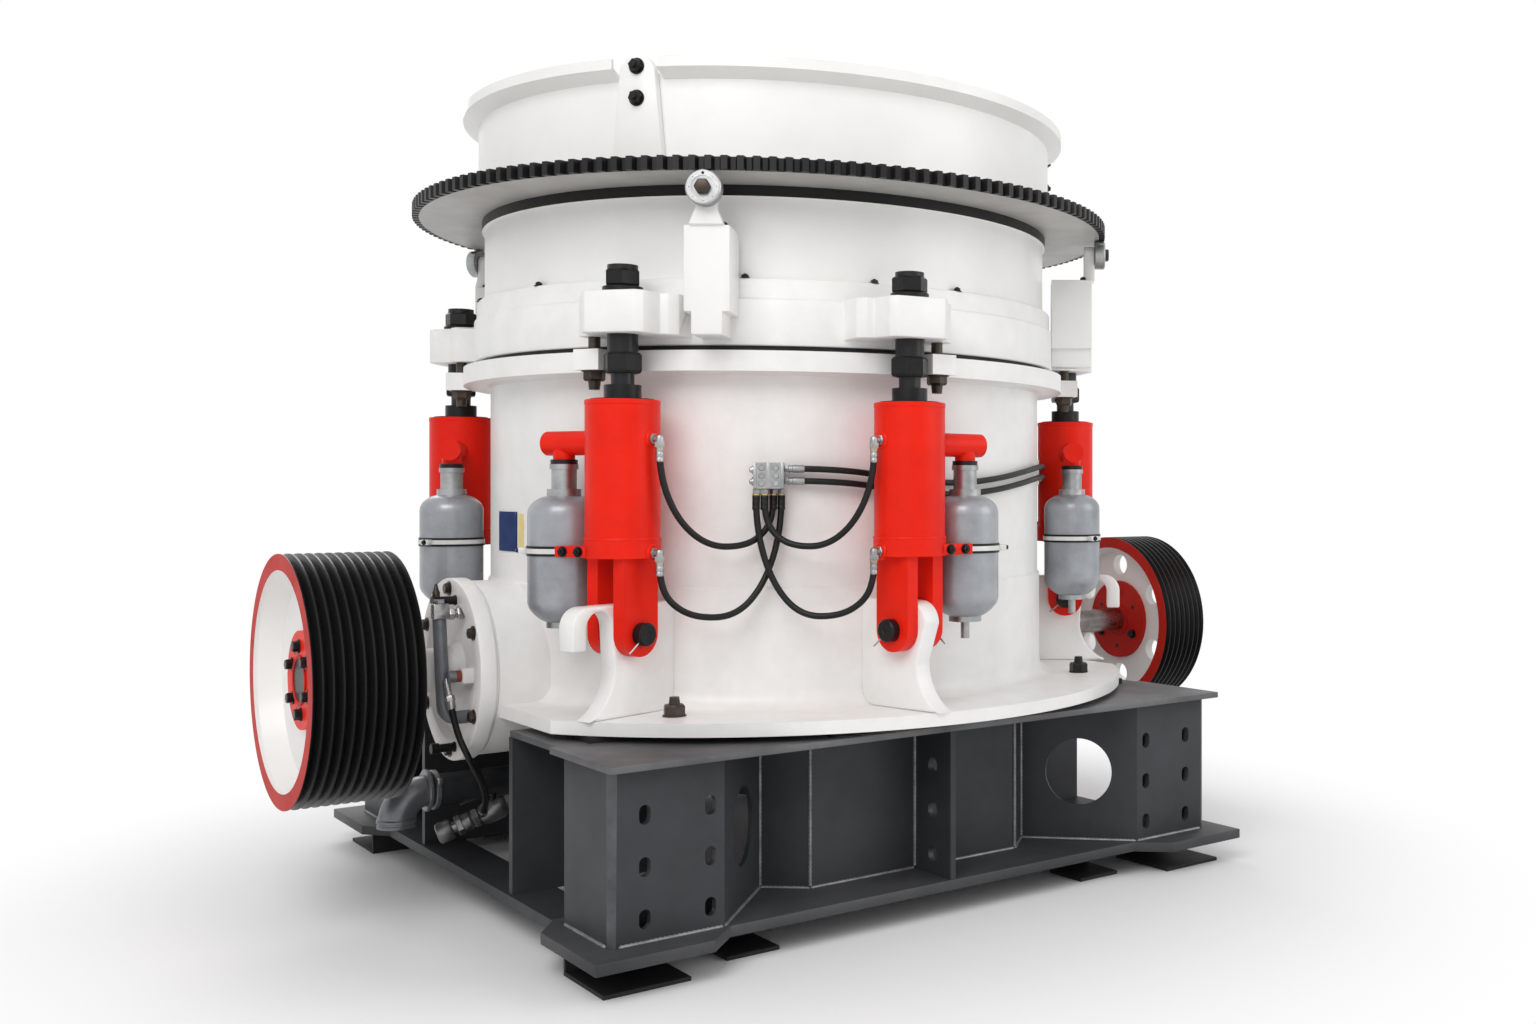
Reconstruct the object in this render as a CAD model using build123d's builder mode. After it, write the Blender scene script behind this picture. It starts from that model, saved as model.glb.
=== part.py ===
from build123d import *
import math
import os

# Multi-cylinder cone crusher with its drive sheaves, on its welded base.
# Origin on the floor under the main axis, +Z up. The drive runs along X,
# and -Y is the front. Millimetres.

# Base, from the floor up
foot_height = 87.0
foot_plate = 12.0
corner_foot = (253.0, 271.0)
corner_foot_at = (1044.0, 1046.0)
inner_foot = (170.0, 170.0)
inner_foot_at = (675.0, 1005.0)
bottom_plate = 33.0
base_front = 1153.0
base_half_width = 1150.0
corner_pad_x = 1221.0
corner_pad_y = 1250.0
pad_jog = 97.0
pad_length = 342.0
base_inner_edge = 760.0
sill_width = 150.0
wall_height = 480.0
wall_plate = 25.0
corner_face_x = 1140.0
corner_face_y = 1150.0
corner_inner_x = 800.0
side_wall_end = 838.0
corner_bend = 25.0
slot_length = 54.0
slot_width = 34.0
slot_columns = (843.0, 1039.0)
slot_first = 65.0
slot_pitch = 143.0
web_plate = 20.0
web_valley = (520.0, 842.0)
web_flat = (405.0, 952.0)
diagonal_hole = 118.0
diagonal_hole_height = 240.0
rib_hole = 25.0
cross_plate = 28.0
cross_plate_gap = 405.0
cross_plate_end = 700.0
top_plate = 20.0
top_half_width = 1160.0
top_front = 1199.0
top_corner_end = 779.0
top_side_step = 22.0
top_opening = 850.0
pad_height = 20.0
pad_size = (240.0, 130.0)
pad_places = ((930.0, 735.0), (330.0, 1085.0))

# Main frame casting
flange_thick = 40.0
shell_radius = 995.5
flange_ledge = 306.5
flange_side_ledge = 119.5
shell_wall = 60.5
shell_step = 7.5
shell_step_height = 410.0
shell_height = 1042.0
flare = 50.0
collar_ledge = 89.5
collar_thick = 63.0
hub_radius = 330.0
hub_foot_radius = 250.0
hub_foot_height = 260.0
hub_base_height = 460.0
hub_rim = 30.0
hub_rim_height = 40.0
hub_top_height = 1150.0
arm_width = 260.0
arm_low = 650.0
arm_high = 980.0
guide_lug_turn = 6.0
guide_lug_width = 88.0
guide_lug_length = 172.5
guide_pin_radius = 18.0

# Drive housing, on the X axis at this height
drive_height = 775.0
housing_radius = 285.0
housing_length = 129.5
cover_radius = 296.0
cover_thick = 62.0
cover_groove = 12.0
cover_dish_radius = 232.0
cover_dish_depth = 22.0
cover_dish_slope = 10.0
nose_radius = 75.0
nose_length = 113.0
nose_foot = 20.0
nose_taper = 5.0
tail_radius = 130.0
tail_length = 129.5
tail_cover_radius = 145.0
tail_cover = 35.0

# Tramp release cylinders, in three pairs
pair_angles = (-120.0, 0.0, 120.0)
pair_half_angle = 21.75
cylinder_stand_off = 166.5
barrel_radius = 110.0
barrel_bore = 80.0
barrel_bottom = 1197.0
barrel_top = 1627.0
barrel_floor = 30.0
barrel_collar = 42.0
barrel_collar_lip = 3.0
barrel_collar_rise = 12.0
pin_height = 928.0
pin_radius = 35.0
pin_stand_out = 27.0
pin_turn = 71.25
ear_radius = 68.0
ear_thick = 43.5
ear_gap = 66.0
gland_radius = 55.0
gland_height = 46.0
gland_plate = 4.0
gland_plate_edge = 14.0
rod_radius = 34.0
rod_clearance = 0.08
piston_clearance = 1.0
piston_thick = 50.0
piston_bottom = 1330.0
tee_height = 1501.0
tee_radius = 37.5
tee_past_axis = 62.0
tee_stub_radius = 32.5
tee_stub_bottom = 1437.0
port_turn = 35.0
port_high = 1511.0
port_low = 1171.0

# Pressure vessels beside the cylinders
vessel_spacing = 225.0
vessel_turn = 12.0
vessel_radius = 107.0
vessel_bottom = 955.0
vessel_top = 1340.0
vessel_lower_dome = 66.0
vessel_upper_dome = 58.0
vessel_foot_radius = 52.0
vessel_neck_radius = 37.5
vessel_collar_radius = 50.5
vessel_collar_height = 21.0
neck_ring_height = 15.0
vessel_valve_radius = 14.0
vessel_valve_length = 72.0
vessel_foot = 17.0
band_bottom = 1160.0
band_height = 27.0
band_thick = 4.0
band_clearance = 0.3
clamp_height = 34.0
clamp_depth = 66.0
clamp_drop = 3.0
clamp_share = 0.72

# Brackets that hold the clevis pins
bracket_thick = 63.0
bracket_top = 1017.0
bracket_hook_reach = 217.0
bracket_hook_width = 50.0
bracket_hook_inset = 10.0
bracket_hook_drop = 6.0
bracket_hook_tip = 889.0
bracket_plain_reach = 99.0
bracket_neck = 58.0
bracket_neck_slope = 8.0
bracket_inner = 330.0

# Seal, adjustment ring and rods
seal_ledge = 39.5
seal_width_in = 20.0
seal_height = 18.0
ring_clearance = 0.3
ring_ledge = 54.5
ring_height = 144.0
ring_step_in = 10.0
ring_ledge_height = 64.0
ring_bore_in = 70.5
lug_nose = 85.0
lug_corner = 20.0
lug_root = 30.0
lug_width = 200.0
lug_wing_back = 12.0
lug_wing_corner = 25.0
lug_shoulder = 15.0
lug_wing_width = 330.0
lug_bottom = 1825.0
lug_thick = 125.0
rod_thread_radius = 45.0
lock_nut_bottom = 1709.0
lock_nut_height = 61.0
lock_nut_corner = 58.5
top_washer_radius = 60.0
top_washer = 18.0
top_nut_corner = 55.5
top_nut_height = 51.0
rod_tip = 14.0

# Support rollers under the ring gear
roller_angles = (-128.6, -38.6, 38.6, 128.6)
roller_radius = 53.0
roller_width = 38.0
roller_inset = 19.0
roller_chamfer = 3.0
roller_gap = 0.3
roller_bore_clearance = 0.06
axle_radius = 15.0
bracket_box_width = 136.0
bracket_box_inset = 31.0
bracket_box_root = 40.0
bracket_box_bottom = 1888.0
bracket_box_top = 2145.0
bracket_tongue_width = 92.0
bracket_tongue_bottom = 1820.0
bracket_arm_width = 62.0
bracket_arm_foot = 16.0
bracket_arm_rise = 50.0
bracket_arm_thick = 40.0
axle_sink = 20.0
axle_stand_out = 12.0
axle_nut_edge = 10.0
axle_nut_height = 16.0

# Bowl, ring gear and hopper
bowl_clearance = 5.0
bowl_step_in = 35.0
bowl_height = 289.0
bowl_wall = 150.0
bowl_skirt_bottom = 1760.0
bowl_lip_bottom = 1560.0
bowl_lip_width = 70.0
bowl_mouth_ledge = 110.0
bowl_ring_ledge = 9.0
bowl_ring_height = 34.0
gear_teeth = 166
gear_overhang = 235.0
gear_tooth_height = 22.0
gear_thick = 41.0
gear_seat = 55.0
hopper_ledge = 20.0
hopper_wall = 14.0
hopper_height = 340.0
hopper_flare = 51.0
hopper_flare_height = 26.0
hopper_rim_height = 32.0
hopper_rim_wall = 12.0
drive_plate_angles = (-142.0, -22.0, 98.0)
drive_plate_width = 170.0
drive_plate_top_width = 115.0
drive_plate_height = 346.0
drive_plate_thick = 30.0
drive_plate_gap = 34.0
drive_plate_seat = 0.3
drive_plate_shoulder = 30.0
drive_plate_corner = 25.0
drive_plate_sink = 8.0

# Crushing chamber
mouth_share = 0.54054
liner_top = 2230.0
liner_bottom = 1545.0
throat_wall = 183.0
liner_lip = 90.0
liner_toe = 15.0
liner_bow = 25.0
liner_thick = 62.0
liner_backing = 6.0
mantle_tip_share = 0.43
mantle_bow = (30.0, 40.0)
mantle_toe = 70.0
mantle_top = 2150.0
mantle_bottom = 1490.0
throat_gap = 37.0
mantle_thick = 60.0
feed_plate_ledge = 20.0
feed_plate_chamfer = 12.0
feed_plate_height = 34.0
head_clearance = 4.0
head_foot = 40.0
counterweight_radius = 480.0

# Drive sheave on the left, plain pulley on the right
groove_pitch = 28.6
groove_depth = 17.0
groove_land = 5.0
sheave_radius = 389.0
sheave_grooves = 11
sheave_stand_off = 190.0
sheave_dish = (12.0, 26.0)
sheave_rim_inner = 339.0
sheave_web = 40.0
sheave_web_depth = 78.0
sheave_hub_radius = 152.0
sheave_hub_height = 20.0
sheave_bore = 70.0
pulley_radius = 371.0
pulley_grooves = 8
pulley_stand_off = 577.0
pulley_dish = (10.0, 20.0)
pulley_rim_inner = 324.0
pulley_web = 40.0
pulley_web_depth = 70.0
pulley_hole = 45.0
pulley_hole_circle = 245.0
pulley_holes = 6
pulley_hub_radius = 172.0
pulley_hub_height = 20.0
shaft_radius = 65.0
pulley_shaft_radius = 50.0
shaft_fit = 0.05

# Hydraulics
hose_diameter = 20.0
manifold_width = 92.0
manifold_height = 80.0
manifold_depth = 70.0
manifold_centre = 1402.0
adaptor_corner = 13.0
adaptor_length = 30.0
port_reach = 30.0
port_drop = 36.0
link_clamp_angle = 45.0
link_clamp_height = 1424.0
link_clamp_thick = 9.5
link_clamp_width = 46.0
link_clamp_length = 90.0

# Drain pipe and oil return in the left bay
drain_y = 175.0
drain_height = 355.0
drain_radius = 51.0
drain_flange_radius = 70.0
drain_past_cover = 13.0
drain_coupling = (10.0, 34.0)
drain_socket = 6.0
drain_bend = 90.0
drain_drop = 18.0
line_radius = 27.0
line_cap_radius = 36.0
line_cap = 30.0
valve_radius = 36.0
line_foot_past = (-7.0, 54.0, 237.0)
line_top_past = (-887.0, -182.0, 581.0)
valve_past = (-147.0, 17.0, 291.0)
branch_past = (-110.9, 29.2, 264.9)
branch_end_past = (-106.0, -11.0, 301.0)
branch_radius = 15.0
oil_pipe_radius = 21.0
oil_pipe_bend = 39.0
oil_pipe_top_past = (58.0, -80.0, 945.0)
oil_pipe_foot_past = (58.0, -126.0, 634.0)
oil_block = 52.0
oil_port_rise = 16.0
oil_port_radius = 15.0
cover_boss = 46.0
cover_boss_at = (-151.0, 768.0)
cover_boss_height = 15.0
cover_plug_radius = 18.0
cover_plug_length = 43.0
elbow_radius = 11.0
elbow_length = 97.0
drive_hose_diameter = 20.0
drive_hose_past = (
    (45.0, -158.0, 672.0),
    (37.0, -172.0, 600.0),
    (9.0, -215.0, 510.0),
    (-50.0, -150.0, 430.0),
    (-100.0, -60.0, 345.0),
    branch_end_past,
)
plate_angle_left = 179.5
plate_size = (165.0, 132.0)
plate_thick = 3.0
plate_height = 1220.0

# Levels and places that follow from the sizes above
bottom_plate_top = foot_height + bottom_plate
wall_top = bottom_plate_top + wall_height
base_top = wall_top + top_plate
flange_bottom = base_top + pad_height
flange_top = flange_bottom + flange_thick
collar_bottom = flange_top + shell_height
collar_top = collar_bottom + collar_thick
shell_bore = shell_radius - shell_wall
flange_radius = shell_radius + flange_ledge
flange_half_width = shell_radius + flange_side_ledge
collar_radius = shell_radius + collar_ledge
guide_lug_reach = shell_radius + guide_lug_length
housing_reach = shell_radius + housing_length
cover_reach = housing_reach + cover_thick
nose_reach = cover_reach + nose_length
tail_reach = shell_radius + tail_length
cylinder_circle = shell_radius + cylinder_stand_off
seal_radius = shell_radius + seal_ledge
ring_radius = shell_radius + ring_ledge
ring_ledge_radius = ring_radius - ring_step_in
ring_bore = shell_radius - ring_bore_in
lug_reach = cylinder_circle + lug_nose
lug_wing_reach = cylinder_circle - lug_wing_back
bowl_radius = ring_radius - bowl_step_in
bowl_ring_radius = bowl_radius + bowl_ring_ledge
gear_radius = bowl_radius + gear_overhang
gear_bore = bowl_radius - gear_seat
hopper_radius = bowl_radius + hopper_ledge
hopper_rim_radius = hopper_radius + hopper_flare
roller_circle = gear_radius - roller_inset
bracket_box_reach = roller_circle - bracket_box_inset
chamber_mouth = ring_bore * mouth_share
liner_throat_radius = ring_bore - throat_wall
mantle_tip_radius = chamber_mouth * mantle_tip_share
mantle_radius = liner_throat_radius - throat_gap
feed_plate_radius = mantle_tip_radius + feed_plate_ledge
sheave_inner_face = cover_reach + sheave_stand_off
pulley_inner_face = tail_reach + pulley_stand_off
link_clamp_radius = shell_radius + link_clamp_thick
drain_reach = cover_reach + drain_past_cover
cover_boss_reach = cover_reach + cover_boss_height
cover_plug_reach = cover_boss_reach + cover_plug_length
shell_foot_radius = shell_radius + shell_step
shell_step_level = flange_bottom + shell_step_height
ring_bottom = collar_top + seal_height + ring_clearance
ring_step = ring_bottom + ring_height
ring_top = ring_step + ring_ledge_height
bowl_bottom = ring_top + ring_clearance
gear_bottom = bowl_bottom + bowl_height
gear_top = gear_bottom + gear_thick
hopper_top = gear_top + hopper_height
roller_height = gear_bottom - roller_gap - roller_radius
lug_top = lug_bottom + lug_thick
bowl_bore_radius = ring_bore - bowl_clearance
piston_radius = barrel_bore - piston_clearance
gland_top = barrel_top + gland_height
cylinder_turns = [(a, s) for a in pair_angles for s in (-1, 1)]
hooked = {(-120.0, -1), (0.0, -1), (120.0, -1)}

os.makedirs("parts", exist_ok=True)


def save(part, name):
    """Label one piece and write its file."""
    part.label = name
    export_step(part, f"parts/{name}.step")


def flat_plane(angle, z):
    """Level plane at height z, its x along the radius at this angle."""
    c = math.cos(math.radians(angle))
    s = math.sin(math.radians(angle))
    return Plane(origin=(0, 0, z), x_dir=(c, s, 0), z_dir=(0, 0, 1))


def wall_plane(angle, radius, z):
    """Upright plane that faces outwards at this angle, its y upwards."""
    c = math.cos(math.radians(angle))
    s = math.sin(math.radians(angle))
    return Plane(origin=(radius * c, radius * s, z), x_dir=(-s, c, 0), z_dir=(c, s, 0))


def half_plane(angle, x, y):
    """Upright plane through (x, y) whose x runs outwards at this angle, for a revolved outline."""
    c = math.cos(math.radians(angle))
    s = math.sin(math.radians(angle))
    return Plane(origin=(x, y, 0), x_dir=(c, s, 0), z_dir=(s, -c, 0))


def cylinder_angle(pair, side):
    return pair + side * pair_half_angle


def cylinder_place(pair, side):
    """Centre of one release cylinder in plan."""
    a = math.radians(cylinder_angle(pair, side))
    return cylinder_circle * math.cos(a), cylinder_circle * math.sin(a)


def step_from(place, angle, distance):
    a = math.radians(angle)
    return place[0] + distance * math.cos(a), place[1] + distance * math.sin(a)


def pin_angle(pair, side):
    """Direction of the clevis pin, turned from the radius towards the middle of the pair."""
    return cylinder_angle(pair, side) - side * pin_turn


def plate_angle(pair, side):
    """Direction in which the bracket plate runs outwards."""
    return pin_angle(pair, side) + side * 90.0


def vessel_angle(pair, side):
    return cylinder_angle(pair, side) + side * (90.0 + vessel_turn)


def vessel_place(pair, side):
    return step_from(cylinder_place(pair, side), vessel_angle(pair, side), vessel_spacing)


def port_angle(pair, side):
    """Direction of a hose port on the barrel, towards the middle of the pair and outwards."""
    return pair - side * (90.0 - port_turn)


def port_place(pair, side):
    return step_from(cylinder_place(pair, side), port_angle(pair, side), barrel_radius + port_reach)


def mirrored(points):
    return [(-x, y) for x, y in reversed(points)]


def past_cover(spot):
    """Point whose x is counted outwards from the left cover's face."""
    return -cover_reach - spot[0], spot[1], spot[2]


line_foot = past_cover(line_foot_past)
line_top = past_cover(line_top_past)
valve_at = past_cover(valve_past)
branch_at = past_cover(branch_past)
branch_end = past_cover(branch_end_past)
oil_pipe_top = past_cover(oil_pipe_top_past)
oil_pipe_foot = past_cover(oil_pipe_foot_past)
drive_hose_route = [past_cover(spot) for spot in drive_hose_past]


# Base
with BuildPart() as feet:
    for (sx, sy), (px, py) in ((corner_foot, corner_foot_at), (inner_foot, inner_foot_at)):
        for mx in (-1, 1):
            for my in (-1, 1):
                with BuildSketch(Plane.YZ.offset(mx * px - sx / 2)):
                    with Locations((my * py, foot_height / 2)):
                        Rectangle(sy, foot_height)
                    with Locations((my * (py + foot_plate), foot_height / 2)):
                        Rectangle(sy, foot_height - 2 * foot_plate, mode=Mode.SUBTRACT)
                extrude(amount=sx)
save(feet.part, "base_feet")

pad_inner_x = corner_pad_x - pad_length
with BuildPart() as bottom_plates:
    with BuildSketch(Plane.XY.offset(foot_height)):
        with BuildLine():
            right = [
                (pad_inner_x - pad_jog, -base_front),
                (pad_inner_x, -corner_pad_y),
                (corner_pad_x, -corner_pad_y),
                (corner_pad_x, -corner_pad_y + pad_length + pad_length / 9),
                (base_half_width, -corner_pad_y + pad_length + pad_length / 9 + pad_jog),
                (base_half_width, -base_inner_edge),
            ]
            Polyline(*right, *mirrored(right), close=True)
        make_face()
    extrude(amount=bottom_plate)
    mirror(about=Plane.XZ)
save(bottom_plates.part, "base_bottom_plates")

with BuildPart() as sills:
    for side in (-1, 1):
        with BuildSketch(Plane.XY.offset(foot_height)):
            with Locations((side * (base_half_width - sill_width / 2), 0)):
                Rectangle(sill_width, 2 * base_inner_edge)
        extrude(amount=bottom_plate)
save(sills.part, "base_side_sills")

with BuildPart() as corner_walls:
    for mx in (-1, 1):
        for my in (-1, 1):
            with BuildSketch(Plane.XY.offset(bottom_plate_top)) as bend:
                with BuildLine():
                    Polyline(
                        (mx * corner_inner_x, my * corner_face_y),
                        (mx * corner_face_x, my * corner_face_y),
                        (mx * corner_face_x, my * side_wall_end),
                        (mx * (corner_face_x - wall_plate), my * side_wall_end),
                        (mx * (corner_face_x - wall_plate), my * (corner_face_y - wall_plate)),
                        (mx * corner_inner_x, my * (corner_face_y - wall_plate)),
                        close=True,
                    )
                make_face()
                fillet(bend.vertices().sort_by(Axis((0, 0, 0), (mx, my, 0)))[-1], corner_bend)
            extrude(amount=wall_height)
    slot_rows = [slot_first + i * slot_pitch for i in range(3)]
    for my in (-1, 1):
        with BuildSketch(Plane.XZ.offset(-my * corner_face_y - corner_bend)):
            for mx in (-1, 1):
                for column in slot_columns:
                    for row in slot_rows:
                        with Locations((mx * column, bottom_plate_top + row)):
                            SlotOverall(slot_length, slot_width, rotation=90)
        extrude(amount=2 * corner_bend, mode=Mode.SUBTRACT)
save(corner_walls.part, "base_corner_walls")

hole_x = (corner_inner_x + web_valley[0]) / 2
hole_y = (corner_face_y + web_valley[1]) / 2
web_run = (corner_inner_x - web_valley[0], corner_face_y - web_valley[1])
with BuildPart() as webs:
    with BuildSketch(Plane.XY.offset(bottom_plate_top)):
        outer = [
            (0, -web_flat[1]),
            (web_flat[0], -web_flat[1]),
            web_valley,
            (corner_inner_x, corner_face_y),
        ]
        outer = [(abs(x), -abs(y)) for x, y in outer]
        inner = [(x, y + web_plate) for x, y in outer]
        with BuildLine():
            front = (*mirrored(outer[1:]), *outer[1:])
            back = (*reversed(inner[1:]), *reversed(mirrored(inner[1:])))
            Polyline(*front, *back, close=True)
        make_face()
    extrude(amount=wall_height)
    with BuildSketch(Plane.XY.offset(bottom_plate_top)):
        with Locations((0, -(corner_face_y + web_flat[1]) / 2)):
            Rectangle(web_plate, corner_face_y - web_flat[1])
    extrude(amount=wall_height)
    for mx in (-1, 1):
        normal = Plane(
            origin=(mx * hole_x, -hole_y, bottom_plate_top + diagonal_hole_height),
            x_dir=(0, 0, 1),
            z_dir=(mx * web_run[1], web_run[0], 0),
        )
        with BuildSketch(normal):
            Circle(diagonal_hole)
        extrude(amount=3 * web_plate, both=True, mode=Mode.SUBTRACT)
    with BuildSketch(Plane.YZ.offset(-web_plate)):
        for row in slot_rows:
            with Locations((-(corner_face_y + web_flat[1]) / 2, bottom_plate_top + row)):
                Circle(rib_hole)
    extrude(amount=2 * web_plate, mode=Mode.SUBTRACT)
    mirror(about=Plane.XZ)
save(webs.part, "base_webs")

with BuildPart() as cross_plates:
    for mx in (-1, 1):
        for my in (-1, 1):
            middle = (mx * (corner_face_x + cross_plate_end) / 2, my * (cross_plate_gap + cross_plate / 2))
            with BuildSketch(Plane.XY.offset(bottom_plate_top)):
                with Locations(middle):
                    Rectangle(corner_face_x - cross_plate_end, cross_plate)
            extrude(amount=wall_height)
save(cross_plates.part, "base_cross_plates")

with BuildPart() as top_plates:
    with BuildSketch(Plane.XY.offset(wall_top)):
        right = [
            (top_half_width, -top_front),
            (top_half_width, -top_corner_end),
            (top_half_width - top_side_step, -top_corner_end),
            (top_half_width - top_side_step, -cross_plate_gap),
            (top_opening, -cross_plate_gap),
            (cross_plate_gap, -top_opening),
        ]
        with BuildLine():
            Polyline(*right, *mirrored(right), close=True)
        make_face()
    extrude(amount=top_plate)
    mirror(about=Plane.XZ)
save(top_plates.part, "base_top_plates")

with BuildPart() as pads:
    for px, py in pad_places:
        for mx in (-1, 1):
            for my in (-1, 1):
                with BuildSketch(Plane.XY.offset(base_top)):
                    with Locations((mx * px, my * py)):
                        Rectangle(*pad_size)
                extrude(amount=pad_height)
save(pads.part, "frame_pads")

# Main frame
flare_start = (shell_foot_radius + flare, flange_top)
flare_end = (shell_foot_radius, flange_top + flare)
with BuildPart() as shell:
    with BuildSketch(Plane.XY.offset(flange_bottom)):
        Circle(flange_radius)
        Rectangle(2 * flange_half_width, 2 * flange_radius, mode=Mode.INTERSECT)
    extrude(amount=flange_thick)
    with BuildSketch(Plane.XZ):
        with BuildLine():
            Polyline(
                (shell_foot_radius, flange_top + flare),
                (shell_foot_radius, shell_step_level),
                (shell_radius, shell_step_level + shell_step),
                (shell_radius, collar_bottom - shell_step),
                (shell_radius + 2 * shell_step, collar_bottom),
                (collar_radius, collar_bottom),
                (collar_radius, collar_top),
                (shell_bore, collar_top),
                (shell_bore, flange_top),
                flare_start,
            )
            RadiusArc(flare_start, flare_end, flare)
        make_face()
    revolve(axis=Axis.Z)
    with BuildSketch(Plane.YZ.offset(-housing_reach)):
        with Locations((0, drive_height)):
            Circle(housing_radius)
    extrude(amount=housing_reach)
    with BuildSketch(Plane.YZ):
        with Locations((0, drive_height)):
            Circle(tail_radius)
    extrude(amount=tail_reach)
    for pair, side in cylinder_turns:
        angle = cylinder_angle(pair, side) + side * guide_lug_turn
        with BuildSketch(flat_plane(angle, collar_bottom)):
            with Locations((guide_lug_reach / 2 + shell_radius / 2, 0)):
                Rectangle(guide_lug_reach - shell_radius, guide_lug_width)
        extrude(amount=collar_thick)
    with BuildSketch(Plane.XY):
        Circle(shell_bore)
    extrude(amount=collar_top, mode=Mode.SUBTRACT)
save(shell.part, "frame_shell")

with BuildPart() as hub:
    with BuildSketch(Plane.XZ):
        with BuildLine():
            Polyline(
                (0, hub_foot_height),
                (hub_foot_radius, hub_foot_height),
                (hub_foot_radius, hub_base_height - hub_rim_height),
                (hub_radius + hub_rim, hub_base_height - hub_rim_height),
                (hub_radius + hub_rim, hub_base_height),
                (hub_radius, hub_base_height),
                (hub_radius, hub_top_height),
                (0, hub_top_height),
                close=True,
            )
        make_face()
    revolve(axis=Axis.Z)
    with BuildSketch(Plane.XY.offset(arm_low)) as arms:
        Rectangle(2 * shell_bore, arm_width)
        Rectangle(arm_width, 2 * shell_bore)
        Circle(shell_bore, mode=Mode.INTERSECT)
    extrude(amount=arm_high - arm_low)
save(hub.part, "frame_hub")

shaft_hole = shaft_radius + shaft_fit
left_cover = [
    (-housing_reach, shaft_hole),
    (-housing_reach, cover_radius - cover_groove),
    (-housing_reach - cover_groove, cover_radius - cover_groove),
    (-housing_reach - cover_groove, cover_radius),
    (-cover_reach, cover_radius),
    (-cover_reach, cover_dish_radius),
    (-cover_reach + cover_dish_depth, cover_dish_radius - cover_dish_slope),
    (-cover_reach + cover_dish_depth, nose_radius + nose_foot),
    (-cover_reach, nose_radius),
    (-nose_reach, nose_radius - nose_taper),
    (-nose_reach, shaft_hole),
]
right_cover = [
    (tail_reach, pulley_shaft_radius + shaft_fit),
    (tail_reach, tail_cover_radius),
    (tail_reach + tail_cover, tail_cover_radius),
    (tail_reach + tail_cover, pulley_shaft_radius + shaft_fit),
]
with BuildPart() as covers:
    for outline in (left_cover, right_cover):
        with BuildSketch(Plane.XZ):
            with BuildLine():
                Polyline(*[(x, drive_height + r) for x, r in outline], close=True)
            make_face()
        revolve(axis=Axis((0, 0, drive_height), (1, 0, 0)))
save(covers.part, "drive_covers")

with BuildPart() as brackets:
    for pair, side in cylinder_turns:
        hook = (pair, side) in hooked
        x, y = cylinder_place(pair, side)
        plate = half_plane(plate_angle(pair, side), x, y)
        with BuildSketch(plate.offset(-bracket_thick / 2)):
            with BuildLine():
                reach = bracket_hook_reach if hook else bracket_plain_reach
                if hook:
                    bend = bracket_hook_width + bracket_hook_inset
                    line = Polyline(
                        (-bracket_inner, flange_top),
                        (-bracket_inner, bracket_top),
                        (reach - bend, bracket_top),
                    )
                    RadiusArc(line @ 1, (reach, bracket_top - bend), bend)
                    Polyline(
                        (reach, bracket_top - bend),
                        (reach, bracket_hook_tip),
                        (reach - bracket_hook_width, bracket_hook_tip),
                        (reach - bracket_hook_width, bracket_top - bend - bracket_hook_drop),
                    )
                    RadiusArc(
                        (reach - bracket_hook_width, bracket_top - bend - bracket_hook_drop),
                        (bracket_neck + bracket_neck_slope, bracket_top - bend - bracket_hook_drop),
                        -(reach - bracket_hook_width - bracket_neck - bracket_neck_slope) / 2,
                    )
                    low = Polyline(
                        (bracket_neck + bracket_neck_slope, bracket_top - bend - bracket_hook_drop),
                        (bracket_neck, flange_top + 3 * flare),
                    )
                else:
                    bend = bracket_plain_reach - 30
                    line = Polyline(
                        (-bracket_inner, flange_top),
                        (-bracket_inner, bracket_top),
                        (reach - bend, bracket_top),
                    )
                    RadiusArc(line @ 1, (reach, bracket_top - bend), bend)
                    low = Polyline(
                        (reach, bracket_top - bend),
                        (bracket_neck, flange_top + 3 * flare),
                    )
                RadiusArc(low @ 1, (bracket_neck + 2 * flare, flange_top), -3.25 * flare)
                Line((bracket_neck + 2 * flare, flange_top), (-bracket_inner, flange_top))
            make_face()
            with Locations((0, pin_height)):
                Circle(pin_radius, mode=Mode.SUBTRACT)
        extrude(amount=bracket_thick)
    with BuildSketch(Plane.XZ):
        with BuildLine():
            Polyline(
                (shell_foot_radius, flange_top + flare),
                (shell_foot_radius, collar_bottom),
                (0, collar_bottom),
                (0, flange_top),
                flare_start,
            )
            RadiusArc(flare_start, flare_end, flare)
        make_face()
    revolve(axis=Axis.Z, mode=Mode.SUBTRACT)
save(brackets.part, "cylinder_brackets")

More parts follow.
